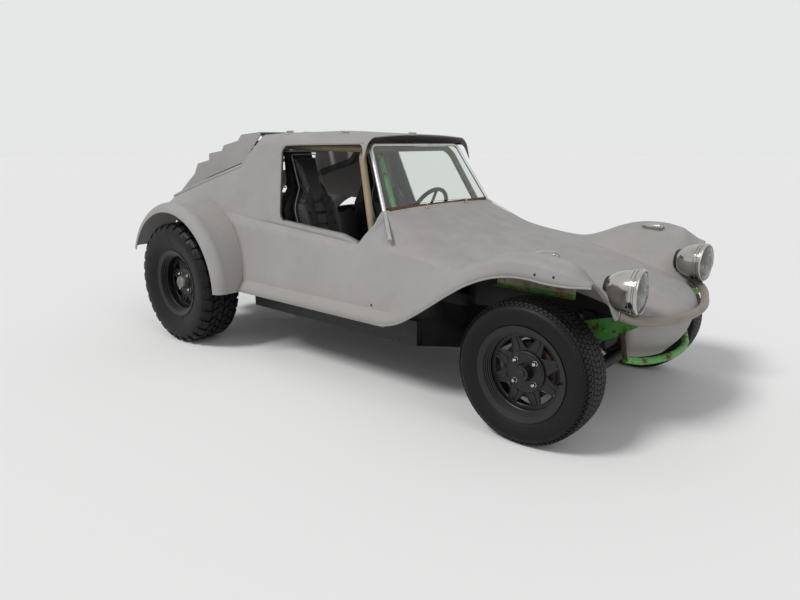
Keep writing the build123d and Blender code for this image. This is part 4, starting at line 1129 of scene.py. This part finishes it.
def bolster(y):
    """1 on the side bolsters, 0 between them."""
    share = clamped((abs(y) - BOLSTER_EDGE[0]) / (BOLSTER_EDGE[1] - BOLSTER_EDGE[0]))
    return share * share * (3 - 2 * share)


def across_pad(half):
    """Distances from the seat's middle, from one edge of a pad to the other."""
    return [half * (2 * i / 16 - 1) for i in range(17)]


def closed_form(bm, rows):
    """Faces over closed rows of points, with both ends filled."""
    loops = skin(bm, rows, closed=True)
    bm.faces.new(loops[0])
    bm.faces.new(loops[-1])


def back_pad(bm):
    """Back pad a little under size: it leans, has raised side bolsters, and narrows to the head."""
    rows = []
    for step, z in enumerate(evenly(BACK_PAD[0][0], BACK_PAD[1][0], 23)):
        half, face, rear = back_half(z), between(BACK_PAD, z), between(SHELL_LINE, z) + 4
        crown = 1 - (2 * step / 23 - 1) ** 8
        rows.append([(face - 30 + 18 * bolster(y) * min(half / PAD_HALF, 1) + 10 * crown, SEAT_Y + y, z)
                     for y in across_pad(half)] + [(rear, SEAT_Y + y, z) for y in (half, 0, -half)])
    closed_form(bm, rows)


def base_pad(bm):
    """Seat pad a little under size, with raised bolsters and a rolled front."""
    rows = []
    for step, x in enumerate(evenly(BASE_PAD[0][0], BASE_PAD[1][0], 15)):
        top, low = between(BASE_PAD, x), between(SHELL_SEAT, x) + 4
        roll = 16 * max(0, (step - 12) / 3) ** 2
        rows.append([(x, SEAT_Y + y, top - 20 + 16 * bolster(y) - roll) for y in across_pad(PAD_HALF)]
                    + [(x, SEAT_Y + y, low) for y in (PAD_HALF, 0, -PAD_HALF)])
    closed_form(bm, rows)


def swollen_points(pad, cap_mm):
    """Remesh a pad and swell it by cloth pressure; no point moves further than the cap."""
    remesh = pad.modifiers.new("remesh", "REMESH")
    remesh.mode, remesh.voxel_size = "VOXEL", VOXEL * MM
    mesh = bpy.data.meshes.new_from_object(pad.evaluated_get(bpy.context.evaluated_depsgraph_get()))
    pad.modifiers.clear()
    pad.data = mesh
    rest = [v.co.copy() for v in mesh.vertices]
    cloth = pad.modifiers.new("cloth", "CLOTH")
    cloth.settings.use_pressure = True
    cloth.settings.uniform_pressure_force = PRESSURE
    cloth.settings.effector_weights.gravity = 0
    scene = bpy.context.scene
    for frame_number in range(1, SWELL_FRAMES + 1):
        scene.frame_set(frame_number)
    blown = pad.evaluated_get(bpy.context.evaluated_depsgraph_get()).data
    points = []
    for start, vertex in zip(rest, blown.vertices):
        move = vertex.co - start
        if move.length > cap_mm * MM:
            move = move.normalized() * cap_mm * MM
        points.append(start + move)
    pad.modifiers.clear()
    scene.frame_set(1)
    return points


def groove(distance_mm, width_mm=5.0):
    """Depth share of a sewn channel at this distance from its seam."""
    return exp(-(distance_mm / width_mm) ** 2)


def sew_back(point):
    """Seams of the back pad: the insert's two sides, and channels across it."""
    y, z = abs(point.y / MM - SEAT_Y), point.z / MM
    if point.x / MM < between(SHELL_LINE, z) + 30:
        return 0
    depth = SEAM_DEPTH * groove(y - BOLSTER_Y) * (z < HEAD_SEAM - 5) + HEAD_DEPTH * groove(z - HEAD_SEAM)
    for seam in BACK_SEAMS:
        depth = max(depth, CHANNEL_DEPTH * groove(z - seam) * (y < BOLSTER_Y))
    return depth


def sew_base(point):
    """Seams of the seat pad: the insert's two sides, and channels across it."""
    x, y = point.x / MM, abs(point.y / MM - SEAT_Y)
    if point.z / MM < between(SHELL_SEAT, x) + 30:
        return 0
    depth = SEAM_DEPTH * groove(y - BOLSTER_Y)
    for seam in BASE_SEAMS:
        depth = max(depth, CHANNEL_DEPTH * groove(x - seam) * (y < BOLSTER_Y))
    return depth


def pad_mesh(name, shape, sew, rest_plane):
    """The finished mesh of one pad: swollen, kept off its shell and sewn."""
    bm = bmesh.new()
    shape(bm)
    bmesh.ops.recalc_face_normals(bm, faces=bm.faces)
    mesh = bpy.data.meshes.new(name)
    bm.to_mesh(mesh)
    bm.free()
    pad = bpy.data.objects.new(name, mesh)
    bpy.context.scene.collection.objects.link(pad)
    points = swollen_points(pad, SWELL_CAP)
    for vertex, point in zip(pad.data.vertices, points):
        vertex.co = rest_plane(point)
    pad.data.update()
    normals = [v.normal.copy() for v in pad.data.vertices]
    for vertex, normal in zip(pad.data.vertices, normals):
        vertex.co = vertex.co - normal * sew(vertex.co) * MM
    mesh = pad.data
    bpy.data.objects.remove(pad)
    return mesh


def off_back_shell(point):
    """The point, or the nearest place in front of the shell's back."""
    low = (between(SHELL_LINE, point.z / MM) + 2) * MM
    return Vector((max(point.x, low), point.y, point.z))


def off_base_shell(point):
    """The point, or the nearest place over the shell's seat."""
    low = (between(SHELL_SEAT, point.x / MM) + 2) * MM
    return Vector((point.x, point.y, max(point.z, low)))


def place_pad(mesh, side, name, replaces):
    """A pad of the right or the left seat."""
    copy = mesh.copy()
    copy.name = name
    if side > 0:
        copy.transform(Matrix.Diagonal((1, -1, 1, 1)))
        copy.flip_normals()
    pad = bpy.data.objects.new(name, copy)
    bpy.context.scene.collection.objects.link(pad)
    copy.materials.clear()
    copy.materials.append(finishes["vinyl"])
    copy.shade_smooth()
    finer = pad.modifiers.new("finer", "SUBSURF")
    finer.levels = finer.render_levels = 1
    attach(pad, "root")
    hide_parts(*replaces)


PIPING = (500, 1176)        # lowest and highest height of the cord


def piping_of_back(bm, side):
    """Cord sewn round the edge of the back pad, light grey as a painted highlight along that edge."""
    run = [(between(BACK_PAD, z) - 30, back_half(z) + 6, z) for z in evenly(*PIPING, 32)]
    path = run + [(x, -y, z) for x, y, z in reversed(run)]
    sweep(bm, [(x, side * -SEAT_Y + y, z) for x, y, z in rounded(path, 14, 3)], circle(3.6, 8))


class BUGGY_OT_seats(bpy.types.Operator):
    """Pad and sew the two bucket seats, and pipe their edges"""
    bl_idname = "buggy.seats"
    bl_label = "Seats"

    def execute(self, context):
        back = pad_mesh("back_pad", back_pad, sew_back, off_back_shell)
        base = pad_mesh("base_pad", base_pad, sew_base, off_base_shell)
        for side, name in ((-1, "right"), (1, "left")):
            place_pad(back, side, f"seat_back_pad_{name}", (f"seat_cushions_{name}",))
            place_pad(base, side, f"seat_base_pad_{name}", (f"seat_cushions_{name}",))
            shell = frame["nodes"][f"seat_shell_{name}"].modifiers.new("soft_edges", "BEVEL")
            shell.width, shell.segments, shell.limit_method = SHELL_ROUND * MM, 3, "ANGLE"
        build("seat_piping", "piping", piping_of_back)
        return {"FINISHED"}


# Harness: distances from the seat's middle, and places on the way of each belt
WEBBING_THICK = 2.2
SHOULDER_Y = 62
SHOULDER_MOUNT = ((-560, 1010), (-490, 1020))       # x and z behind the seat and over its shell
SHOULDER_RUN = (985, 930, 860, 790, 720, 650)       # heights on the back pad, down to the adjuster
ADJUSTER_Z = 618
BELOW_ADJUSTER = (590, 560, 535)
LAP_Y = 150
LAP_RUN = ((-230, 1, 530), (-190, 0.8, None), (-150, 0.5, None), (-120, 0.24, None))   # x, share of LAP_Y, and z
BUCKLE_X = -112
BEFORE_SEAT_X, OVER_SEAT_Z = 300, 800       # where the rays that look for the pads start


def on_pads(pads, point, lift):
    """The point, or where it meets the pads: from the front if its x is None, and from above if its z is."""
    x, y, z = point
    if x is None:
        spot, normal = hit(pads, (BEFORE_SEAT_X, y, z), (-1, 0, 0))
    elif z is None:
        spot, normal = hit(pads, (x, y, OVER_SEAT_Z), (0, 0, -1))
    else:
        return point
    return tuple(spot + normal * lift)


def make_strap(bm, points, pads, width, across, lift):
    """Webbing along points of (x, y, z), laid over the pads where a number is None."""
    path = smooth_rows([on_pads(pads, point, lift) for point in points], 6)
    sweep(bm, path, flat_bar(width, WEBBING_THICK), across=across)


def latch(bm, place):
    """Pressed buckle with its tongue and lift lever."""
    bar(bm, (62, 40, 6), place, 2)
    bar(bm, (40, 30, 5), place @ at(6, 0, 5, (0, -8, 0)), 2)
    turned(bm, ((0, -4), (6, -4), (6, 7), (4, 9), (0, 9)), 16, place @ at(-24, 0, 0))


class BUGGY_OT_harness(bpy.types.Operator):
    """Hang the four-point harnesses over the seats, with their latches"""
    bl_idname = "buggy.harness"
    bl_label = "Harnesses"

    def execute(self, context):
        width = context.scene.buggy_sizes.webbing_width / MM
        straps, latches = bmesh.new(), bmesh.new()
        for side, name in ((-1, "right"), (1, "left")):
            pads = surface_of(bpy.data.objects[f"seat_back_pad_{name}"], bpy.data.objects[f"seat_base_pad_{name}"])
            middle = -side * SEAT_Y
            for y in (middle - SHOULDER_Y, middle + SHOULDER_Y):
                over_shell = [(x, y, z) for x, z in SHOULDER_MOUNT]
                for run in (over_shell + [(None, y, z) for z in SHOULDER_RUN], [(None, y, z) for z in BELOW_ADJUSTER]):
                    make_strap(straps, run, pads, width, across=(0, 1, 0), lift=2.5)
                spot, normal = hit(pads, (BEFORE_SEAT_X, y, ADJUSTER_Z), (-1, 0, 0))
                latch(latches, facing(spot + normal * 5, normal))
            for lap_y in (-LAP_Y, LAP_Y):
                run = [(x, middle + lap_y * share, z) for x, share, z in LAP_RUN]
                make_strap(straps, run, pads, width, across=(1, 0, 0), lift=3)
            spot, normal = hit(pads, (BUCKLE_X, middle, OVER_SEAT_Z), (0, 0, -1))
            latch(latches, facing(spot + normal * 8, normal))
        piece(straps, "harness_webbing", "webbing")
        piece(latches, "harness_latches", "chrome", slot="chrome")
        return {"FINISHED"}


# Cabin fittings: gauges as y, z and radius, switches by y, and the wheel's hub with its lean
DASH_X = 205
GAUGES = ((320, 818, 50), (222, 822, 27), (418, 822, 27), (150, 815, 27))
MARKS = range(-120, 121, 20)        # angles of a dial's marks
SWITCHES = (40, 80, 120, -60, -100)
SWITCH_Z = 700
HUB = (-110, 320, 823)
HUB_LEAN = -65


def gauge(rims, faces, marks, y, z, radius):
    """A dial that looks back at the driver, with plain marks and a needle."""
    place = at(DASH_X, y, z, (0, -90, 0))
    rim = ((radius - 3, 0), (radius + 3, 0), (radius + 3, 5), (radius, 9), (radius - 3, 8))
    turned(rims, rim, 40, place, loop=True)
    turned(faces, ((0, 3), (radius - 3, 3)), 40, place)
    for degrees in MARKS:
        mark = at(*polar(radius - 8, radians(degrees), 3.6), (0, 0, degrees))
        bar(marks, (radius * 0.14, radius * 0.035, 0.6), place @ mark, 0.1)
    bar(marks, (radius * 0.6, 1.6, 1), place @ at(radius * 0.25, 0, 5), 0.2)


class BUGGY_OT_cabin(bpy.types.Operator):
    """Fit the gauges, the switches and the horn button"""
    bl_idname = "buggy.cabin"
    bl_label = "Cabin Fittings"

    def execute(self, context):
        rims, faces, marks, switches, horn = [bmesh.new() for _ in range(5)]
        for y, z, radius in GAUGES:
            gauge(rims, faces, marks, y, z, radius)
        for y in SWITCHES:
            place = at(DASH_X, y, SWITCH_Z, (0, -90, 0))
            turned(switches, ((10, 0), (10, 3), (6, 5), (6, 9), (0, 9)), 6, place)
            turned(switches, ((2.4, 6), (3.6, 24), (2, 27), (0, 27)), 12, place @ at(0, 0, 0, (14, 0, 0)))
        turned(horn, ((34, 0), (34, 4), (30, 9), (14, 13), (0, 14)), 32, at(*HUB, (0, HUB_LEAN, 0)))
        piece(rims, "gauge_rims", "chrome")
        piece(faces, "gauge_faces", "plastic")
        piece(marks, "gauge_marks", "white")
        piece(switches, "dash_switches", "aluminium")
        piece(horn, "horn_button", "plastic", "steering_wheel")
        return {"FINISHED"}


SKY_Z, BESIDE_Y = 1500, 900     # where rays start that look down on the car, and at its side
DOWN = (0, 0, -1)
ROOF_HINGES = ((-672, -300), (-672, 300), (-195, -300), (-195, 300))


class BUGGY_OT_roof_hinges(bpy.types.Operator):
    """Screw the old hinge leaves, with their barrels, to the roof"""
    bl_idname = "buggy.roof_hinges"
    bl_label = "Roof Hinges"

    def execute(self, context):
        roof = surface_of(frame["nodes"]["hardtop"])
        bm = bmesh.new()
        for x, y in ROOF_HINGES:
            place = facing(*hit(roof, (x, y, SKY_Z), DOWN))
            bar(bm, (64, 26, 3), place @ at(0, 0, 1.5), 1)
            sweep(bm, [place @ (Vector((along, 13, 9)) * MM) / MM for along in (-30, -10, 10, 30)], circle(5, 10))
            bar(bm, (28, 4, 9), place @ at(0, 13, 5), 1)
            for along in (-20, 0, 20):
                turned(bm, ((4.5, 2.5), (4.2, 4), (2.5, 5), (0, 5.2)), 10, place @ at(along, -3, 0))
        piece(bm, "roof_hinge_leaves", "chrome", slot="chrome", replaces=("roof_hinges",), sharp=30)
        return {"FINISHED"}


DOOR_EDGE = ((96, 1238), (-500, 1228), (-405, 812), (112, 775))     # side view of the door opening: x, z
DOOR_MIDDLE = (-180, 0, 1010)
ROLL = (3, 2, 7)            # how far the rolled edge lies inside the found edge and under the skin, and its radius
RUBBER = (11, 6, 5.5)       # the same of the rubber


class BUGGY_OT_door_edges(bpy.types.Operator):
    """Roll the hardtop's edge round the door opening, and push its rubber on"""
    bl_idname = "buggy.door_edges"
    bl_label = "Door Edges"

    def execute(self, context):
        roof = surface_of(frame["nodes"]["hardtop"])
        outline = rounded([(x, 0, z) for x, z in DOOR_EDGE], 55, 7)
        path = []
        for start, end in zip(outline, outline[1:]):
            path += [start.lerp(end, share / 8) for share in range(8)]
        rolls, rubber = bmesh.new(), bmesh.new()
        for side in (-1, 1):
            edge = []
            for point in path:
                away = (point - Vector(DOOR_MIDDLE)).normalized()
                edge.append((hit(roof, point + away * 9 + Vector((0, side * BESIDE_Y, 0)), (0, -side, 0))[0], away))
            for bm, (inside, under, radius) in ((rolls, ROLL), (rubber, RUBBER)):
                sweep(bm, [spot - away * inside - Vector((0, side * under, 0)) for spot, away in edge],
                      circle(radius, 10 if bm is rolls else 8))
        piece(rolls, "door_edge_rolls", "body", slot="body_primer")
        piece(rubber, "door_edge_rubber", "plastic", slot="black_plastic")
        return {"FINISHED"}


GASKET_HALF = 452           # half length of the gasket under the glass
GASKET = [(-7, -12), (7, -12), (8, 0), (5, 9), (-5, 9), (-8, 0)]
CLAMPS = (-330, -110, 110, 330)
SPINDLES = (-185, 185)
SPINDLE_X = 318


class BUGGY_OT_windshield(bpy.types.Operator):
    """Lay the gasket under the glass, and fit the screws and wiper spindles in front of it"""
    bl_idname = "buggy.windshield"
    bl_label = "Windshield Fittings"

    def execute(self, context):
        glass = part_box("windshield_glass")
        x, z = glass[1].x / MM, glass[0].z / MM
        body = surface_of(bpy.data.objects["moulded_body"])
        gasket, fittings = bmesh.new(), bmesh.new()
        sweep(gasket, [(x + 4, y, z + 5) for y in evenly(-GASKET_HALF, GASKET_HALF, 24)], GASKET, across=(1, 0, 0.3))
        for y in CLAMPS:
            turned(fittings, ((7, -2), (7, 2), (5, 4), (0, 5)), 12, facing(*hit(body, (x + 26, y, SKY_Z), DOWN)))
        for y in SPINDLES:
            turned(fittings, ((11, -3), (11, 5), (8, 9), (5, 10), (5, 20), (3.5, 24), (0, 25)), 16,
                   facing(*hit(body, (SPINDLE_X, y, SKY_Z), DOWN)))
        piece(gasket, "windshield_gasket", "seal")
        piece(fittings, "cowl_fittings", "chrome", slot="chrome", replaces=("wipers",))
        return {"FINISHED"}


# Hatch: rivets down both sides, seals on the roof's edges, and the latch
RIVET = ((6, -0.5), (6, 0.6), (4.6, 2.2), (2.4, 3), (0, 3.2))
RIVETS_X = (-760, -830, -900, -980, -1040, -1095, -1150, -1205, -1260, -1305, -1350, -1400, -1490, -1540, -1590, -1640)
RIVETS_Y = 456
SIDE_SEAL_X = (-732, -1650, -18)
SIDE_SEAL_Y = (484, 460.5)  # where the roof's edge is felt for, and where the seal lies
SIDE_SEAL = [(-4, -20), (4, -20), (4, 20), (-4, 20)]
FRONT_SEAL = ((46, 900, 5), (-722, 0, 1281))        # size and middle
LATCH_X = -1625
# Engine: pulleys as height and radius, and the leads from the middle to the four plugs
PULLEY_X, BELT_X = -1600, -1610
PULLEYS = ((470, 64), (640, 46))
BELT_SINK = 4               # the belt runs this deep in the pulleys
BELT = [(-6, -3), (6, -3), (4, 4), (-4, 4)]
PLUGS = ((-1400, -330, 440), (-1520, -330, 380), (-1400, 330, 440), (-1520, 330, 380))


def pulley_arc(z, radius, degrees):
    """Points of the belt round a pulley."""
    return [(BELT_X, (radius - BELT_SINK) * cos(radians(a)), z + (radius - BELT_SINK) * sin(radians(a)))
            for a in degrees]


class BUGGY_OT_rear(bpy.types.Operator):
    """Rivet and seal the louvred hatch, fit its latch, and dress the engine with its belt and leads"""
    bl_idname = "buggy.rear"
    bl_label = "Hatch And Engine Fittings"

    def execute(self, context):
        hatch = surface_of(frame["nodes"]["engine_hatch"])
        roof = surface_of(frame["nodes"]["hardtop"])
        rivets, seals, front, latch_mesh, pulleys, rubber = [bmesh.new() for _ in range(6)]
        for x in RIVETS_X:
            for y in (-RIVETS_Y, RIVETS_Y):
                turned(rivets, RIVET, 10, facing(*hit(hatch, (x, y, SKY_Z), DOWN)))
        found_y, seal_y = SIDE_SEAL_Y
        for side in (-1, 1):
            edge = [(x, side * seal_y, hit(roof, (x, side * found_y, SKY_Z), DOWN)[0].z - 4)
                    for x in range(*SIDE_SEAL_X)]
            sweep(seals, edge, SIDE_SEAL, across=(0, 1, 0))
        bar(front, FRONT_SEAL[0], at(*FRONT_SEAL[1]), 1.5)
        place = facing(*hit(hatch, (LATCH_X, 0, SKY_Z), DOWN))
        turned(latch_mesh, ((26, 0), (26, 3), (22, 6), (10, 8), (9, 24), (0, 24)), 28, place)
        bar(latch_mesh, (18, 96, 10), place @ at(0, 0, 26), 4)
        for z, radius in PULLEYS:
            rim = ((0, 0), (radius, 0), (radius, 4), (radius - 9, 10), (radius, 16), (radius, 20))
            turned(pulleys, rim + ((22, 21), (22, 30), (14, 34), (0, 34)), 36, at(PULLEY_X, 0, z, (0, -90, 0)))
        low, high = PULLEYS
        loop = pulley_arc(*low, range(-172, -7, 12)) + pulley_arc(*high, range(6, 175, 12))
        sweep(rubber, loop, BELT, across=(1, 0, 0), closed=True)
        for index, (x, y, z) in enumerate(PLUGS):
            lead = [(-1460, -40 + 12 * index, 610), (-1470, y * 0.3, 650), (x, y * 0.75, 560), (x, y * 1.05, z + 40),
                    (x, y * 1.05, z + 12)]
            sweep(rubber, smooth_rows(lead, 8), circle(4, 8))
        piece(rivets, "hatch_rivets", "aluminium", "engine_hatch", slot="aluminium")
        piece(seals, "hatch_side_seals", "plastic", "engine_hatch", slot="black_plastic")
        piece(front, "hatch_front_seal", "plastic", slot="black_plastic")
        piece(latch_mesh, "hatch_latch", "chrome", "engine_hatch", slot="chrome")
        piece(pulleys, "engine_pulleys", "alloy", slot="engine_alloy")
        piece(rubber, "belt_and_leads", "rubber")
        return {"FINISHED"}


# Holes in the side, as x and z: two for the marker lamp's screws, and one over the sill
MARKER_HOLES = ((1294, 749), (1374, 749))
SILL_HOLE = (380, 466)


class BUGGY_OT_holes(bpy.types.Operator):
    """Lay thin black discs, painted shade for the dark inside of holes, where the marker lamps' screw holes in the
    fenders and the hole over each sill are
    """
    bl_idname = "buggy.holes"
    bl_label = "Screw Holes"

    def execute(self, context):
        body = surface_of(bpy.data.objects["moulded_body"])
        holes = bmesh.new()
        for side in (-1, 1):
            for x, z in MARKER_HOLES:
                place = facing(*hit(body, (x, side * BESIDE_Y, z), (0, -side, 0)))
                # Each screw hole is a raised ring round a thin black disc; the disc is painted shade for the hole's
                # dark inside, and so is the disc over the sill
                turned(holes, ((4.2, 0.2), (5.4, 0.2), (5.4, 0.8), (4.2, 0.8)), 18, place, loop=True)
                turned(holes, ((0, 0.3), (4.4, 0.3), (4.4, 0.1), (0, 0.1)), 18, place)
            place = facing(*hit(body, (SILL_HOLE[0], side * BESIDE_Y, SILL_HOLE[1]), (0, -side, 0)))
            turned(holes, ((0, 0.3), (7, 0.3), (7, 0.1), (0, 0.1)), 18, place)
        piece(holes, "marker_screw_holes_painted_shade", "plastic")
        return {"FINISHED"}


class BUGGY_OT_finishes(bpy.types.Operator):
    """Give every built piece that shows the finish of its material slot"""
    bl_idname = "buggy.finishes"
    bl_label = "Finishes"

    def execute(self, context):
        finishes.update(make_finishes(context.scene.buggy_colours))
        for row in frame["record"]["subparts"]:
            data = frame["nodes"][row["node"]].data
            data.materials.clear()
            data.materials.append(finishes[SLOT_FINISH[row["material_slot"]]])
        return {"FINISHED"}


# Stage
PALE = "#f1f0ee"
SUNS = (
    # name, direction towards the lamp, strength, angle of its disc in degrees
    ("key", (-0.35, -1.0, 1.25), 1.75, 16),
    ("fill", (1.0, -0.25, 0.7), 0.45, 40),
)
SKY_STRENGTH = 0.46         # of the world's light; what the camera sees of it is pale and a full 1
FLOOR_HALF = 60             # metres


def make_floor():
    """Pale smooth floor that keeps the car's shadow."""
    bm = bmesh.new()
    lines = [number / MM for number in range(-FLOOR_HALF, FLOOR_HALF + 1, 20)]
    skin(bm, [[(x, y, 0) for y in lines] for x in lines])
    mesh = bpy.data.meshes.new("floor")
    bm.to_mesh(mesh)
    bm.free()
    floor = bpy.data.objects.new("floor", mesh)
    bpy.context.scene.collection.objects.link(floor)
    matt = {"Base Color": linear(PALE), "Roughness": 0.9, "Specular IOR Level": 0.1}
    floor.data.materials.append(new_material("pale_floor", matt)[0])


def make_lights():
    """Two soft suns, and a world that lights plainly and shows pale behind the car and in its reflections."""
    for name, toward, strength, angle in SUNS:
        lamp = bpy.data.objects.new(name, bpy.data.lights.new(name, "SUN"))
        lamp.data.energy = strength
        lamp.data.angle = radians(angle)
        lamp.rotation_euler = Vector(toward).to_track_quat("Z", "Y").to_euler()
        bpy.context.scene.collection.objects.link(lamp)
    world = bpy.data.worlds.new("studio")
    bpy.context.scene.world = world
    world.use_nodes = True
    tree = world.node_tree
    tree.nodes.clear()
    rays = add_node(tree, "ShaderNodeLightPath")
    seen = rays.outputs["Is Camera Ray"]
    for kind in ("Is Glossy Ray", "Is Transmission Ray"):
        seen = add_node(tree, "ShaderNodeMath", links={0: seen, 1: rays.outputs[kind]}, operation="MAXIMUM").outputs[0]
    light = add_node(tree, "ShaderNodeBackground", {"Color": linear("#f1f3f7"), "Strength": SKY_STRENGTH})
    shown = add_node(tree, "ShaderNodeBackground", {"Color": linear("#e6e7e7"), "Strength": 1.0})
    both = add_node(tree, "ShaderNodeMixShader", links={0: seen, 1: light.outputs[0], 2: shown.outputs[0]})
    add_node(tree, "ShaderNodeOutputWorld", links={"Surface": both.outputs[0]})


class BUGGY_OT_stage(bpy.types.Operator):
    """Make the floor, the lights, the world and the camera"""
    bl_idname = "buggy.stage"
    bl_label = "Stage"

    def execute(self, context):
        make_floor()
        make_lights()
        camera = bpy.data.objects.new("camera", bpy.data.cameras.new("camera"))
        camera.data.lens = CAMERA_LENS
        camera.data.sensor_width = 36
        camera.location = CAMERA_AT
        camera.rotation_euler = (radians(90 + CAMERA_PITCH), 0, radians(CAMERA_YAW))
        context.scene.collection.objects.link(camera)
        context.scene.camera = camera
        context.scene.view_settings.view_transform = "Standard"
        return {"FINISHED"}


class BUGGY_PG_sizes(bpy.types.PropertyGroup):
    """Sizes that a user would change"""
    body_wall: bpy.props.FloatProperty(name="Body Wall", description="Thickness of the moulded shell",
                                       subtype="DISTANCE", unit="LENGTH", min=0.003, max=0.008, default=0.005)
    bumper_radius: bpy.props.FloatProperty(name="Bumper Radius", description="Radius of the bumper's tube",
                                           subtype="DISTANCE", unit="LENGTH", min=0.015, max=0.022, default=0.019)
    loop_radius: bpy.props.FloatProperty(name="Loop Radius", description="Radius of the tube under the nose",
                                         subtype="DISTANCE", unit="LENGTH", min=0.012, max=0.02, default=0.016)
    webbing_width: bpy.props.FloatProperty(name="Webbing Width", description="Width of the harness webbing",
                                           subtype="DISTANCE", unit="LENGTH", min=0.025, max=0.075, default=0.048)


class BUGGY_PG_colours(bpy.types.PropertyGroup):
    """Colours that a user would change"""
    primer: bpy.props.FloatVectorProperty(name="Primer", description="Main colour of the sprayed body",
                                          subtype="COLOR", size=4, min=0, max=1, default=linear("#979492"))
    wheels: bpy.props.FloatVectorProperty(name="Wheels", description="Enamel on the steel rims",
                                          subtype="COLOR", size=4, min=0, max=1, default=linear("#060607"))
    brackets: bpy.props.FloatVectorProperty(name="Brackets", description="Enamel on the front brackets and loop",
                                            subtype="COLOR", size=4, min=0, max=1, default=linear("#45953a"))


# In the order that they run: the finishes come first, and the body before what is laid on it
OPERATORS = (BUGGY_OT_stage, BUGGY_OT_finishes, BUGGY_OT_body, BUGGY_OT_inner_panels, BUGGY_OT_lamps, BUGGY_OT_bumper,
             BUGGY_OT_wheels, BUGGY_OT_seats, BUGGY_OT_harness, BUGGY_OT_cabin, BUGGY_OT_roof_hinges,
             BUGGY_OT_door_edges, BUGGY_OT_windshield, BUGGY_OT_rear, BUGGY_OT_holes)


class BUGGY_PT_panel(bpy.types.Panel):
    """The buggy's colours, and its pieces in the order that they are made"""
    bl_idname = "BUGGY_PT_panel"
    bl_label = "Dune Buggy"
    bl_space_type = "VIEW_3D"
    bl_region_type = "UI"
    bl_category = "Buggy"

    def draw(self, context):
        for name in ("primer", "wheels", "brackets"):
            self.layout.prop(context.scene.buggy_colours, name)
        for name in ("body_wall", "bumper_radius", "loop_radius", "webbing_width"):
            self.layout.prop(context.scene.buggy_sizes, name)
        for operator in OPERATORS:
            self.layout.operator(operator.bl_idname)


CLASSES = (BUGGY_PG_colours, BUGGY_PG_sizes, *OPERATORS, BUGGY_PT_panel)


def register():
    """Add the classes and the settings to Blender."""
    for one in CLASSES:
        bpy.utils.register_class(one)
    bpy.types.Scene.buggy_colours = bpy.props.PointerProperty(type=BUGGY_PG_colours)
    bpy.types.Scene.buggy_sizes = bpy.props.PointerProperty(type=BUGGY_PG_sizes)


def unregister():
    """Take the settings and the classes out again."""
    del bpy.types.Scene.buggy_sizes
    del bpy.types.Scene.buggy_colours
    for one in reversed(CLASSES):
        bpy.utils.unregister_class(one)


def main():
    """Make every piece."""
    register()
    for operator in OPERATORS:
        group, name = operator.bl_idname.split(".")
        getattr(getattr(bpy.ops, group), name)()


if __name__ == "__main__":
    main()
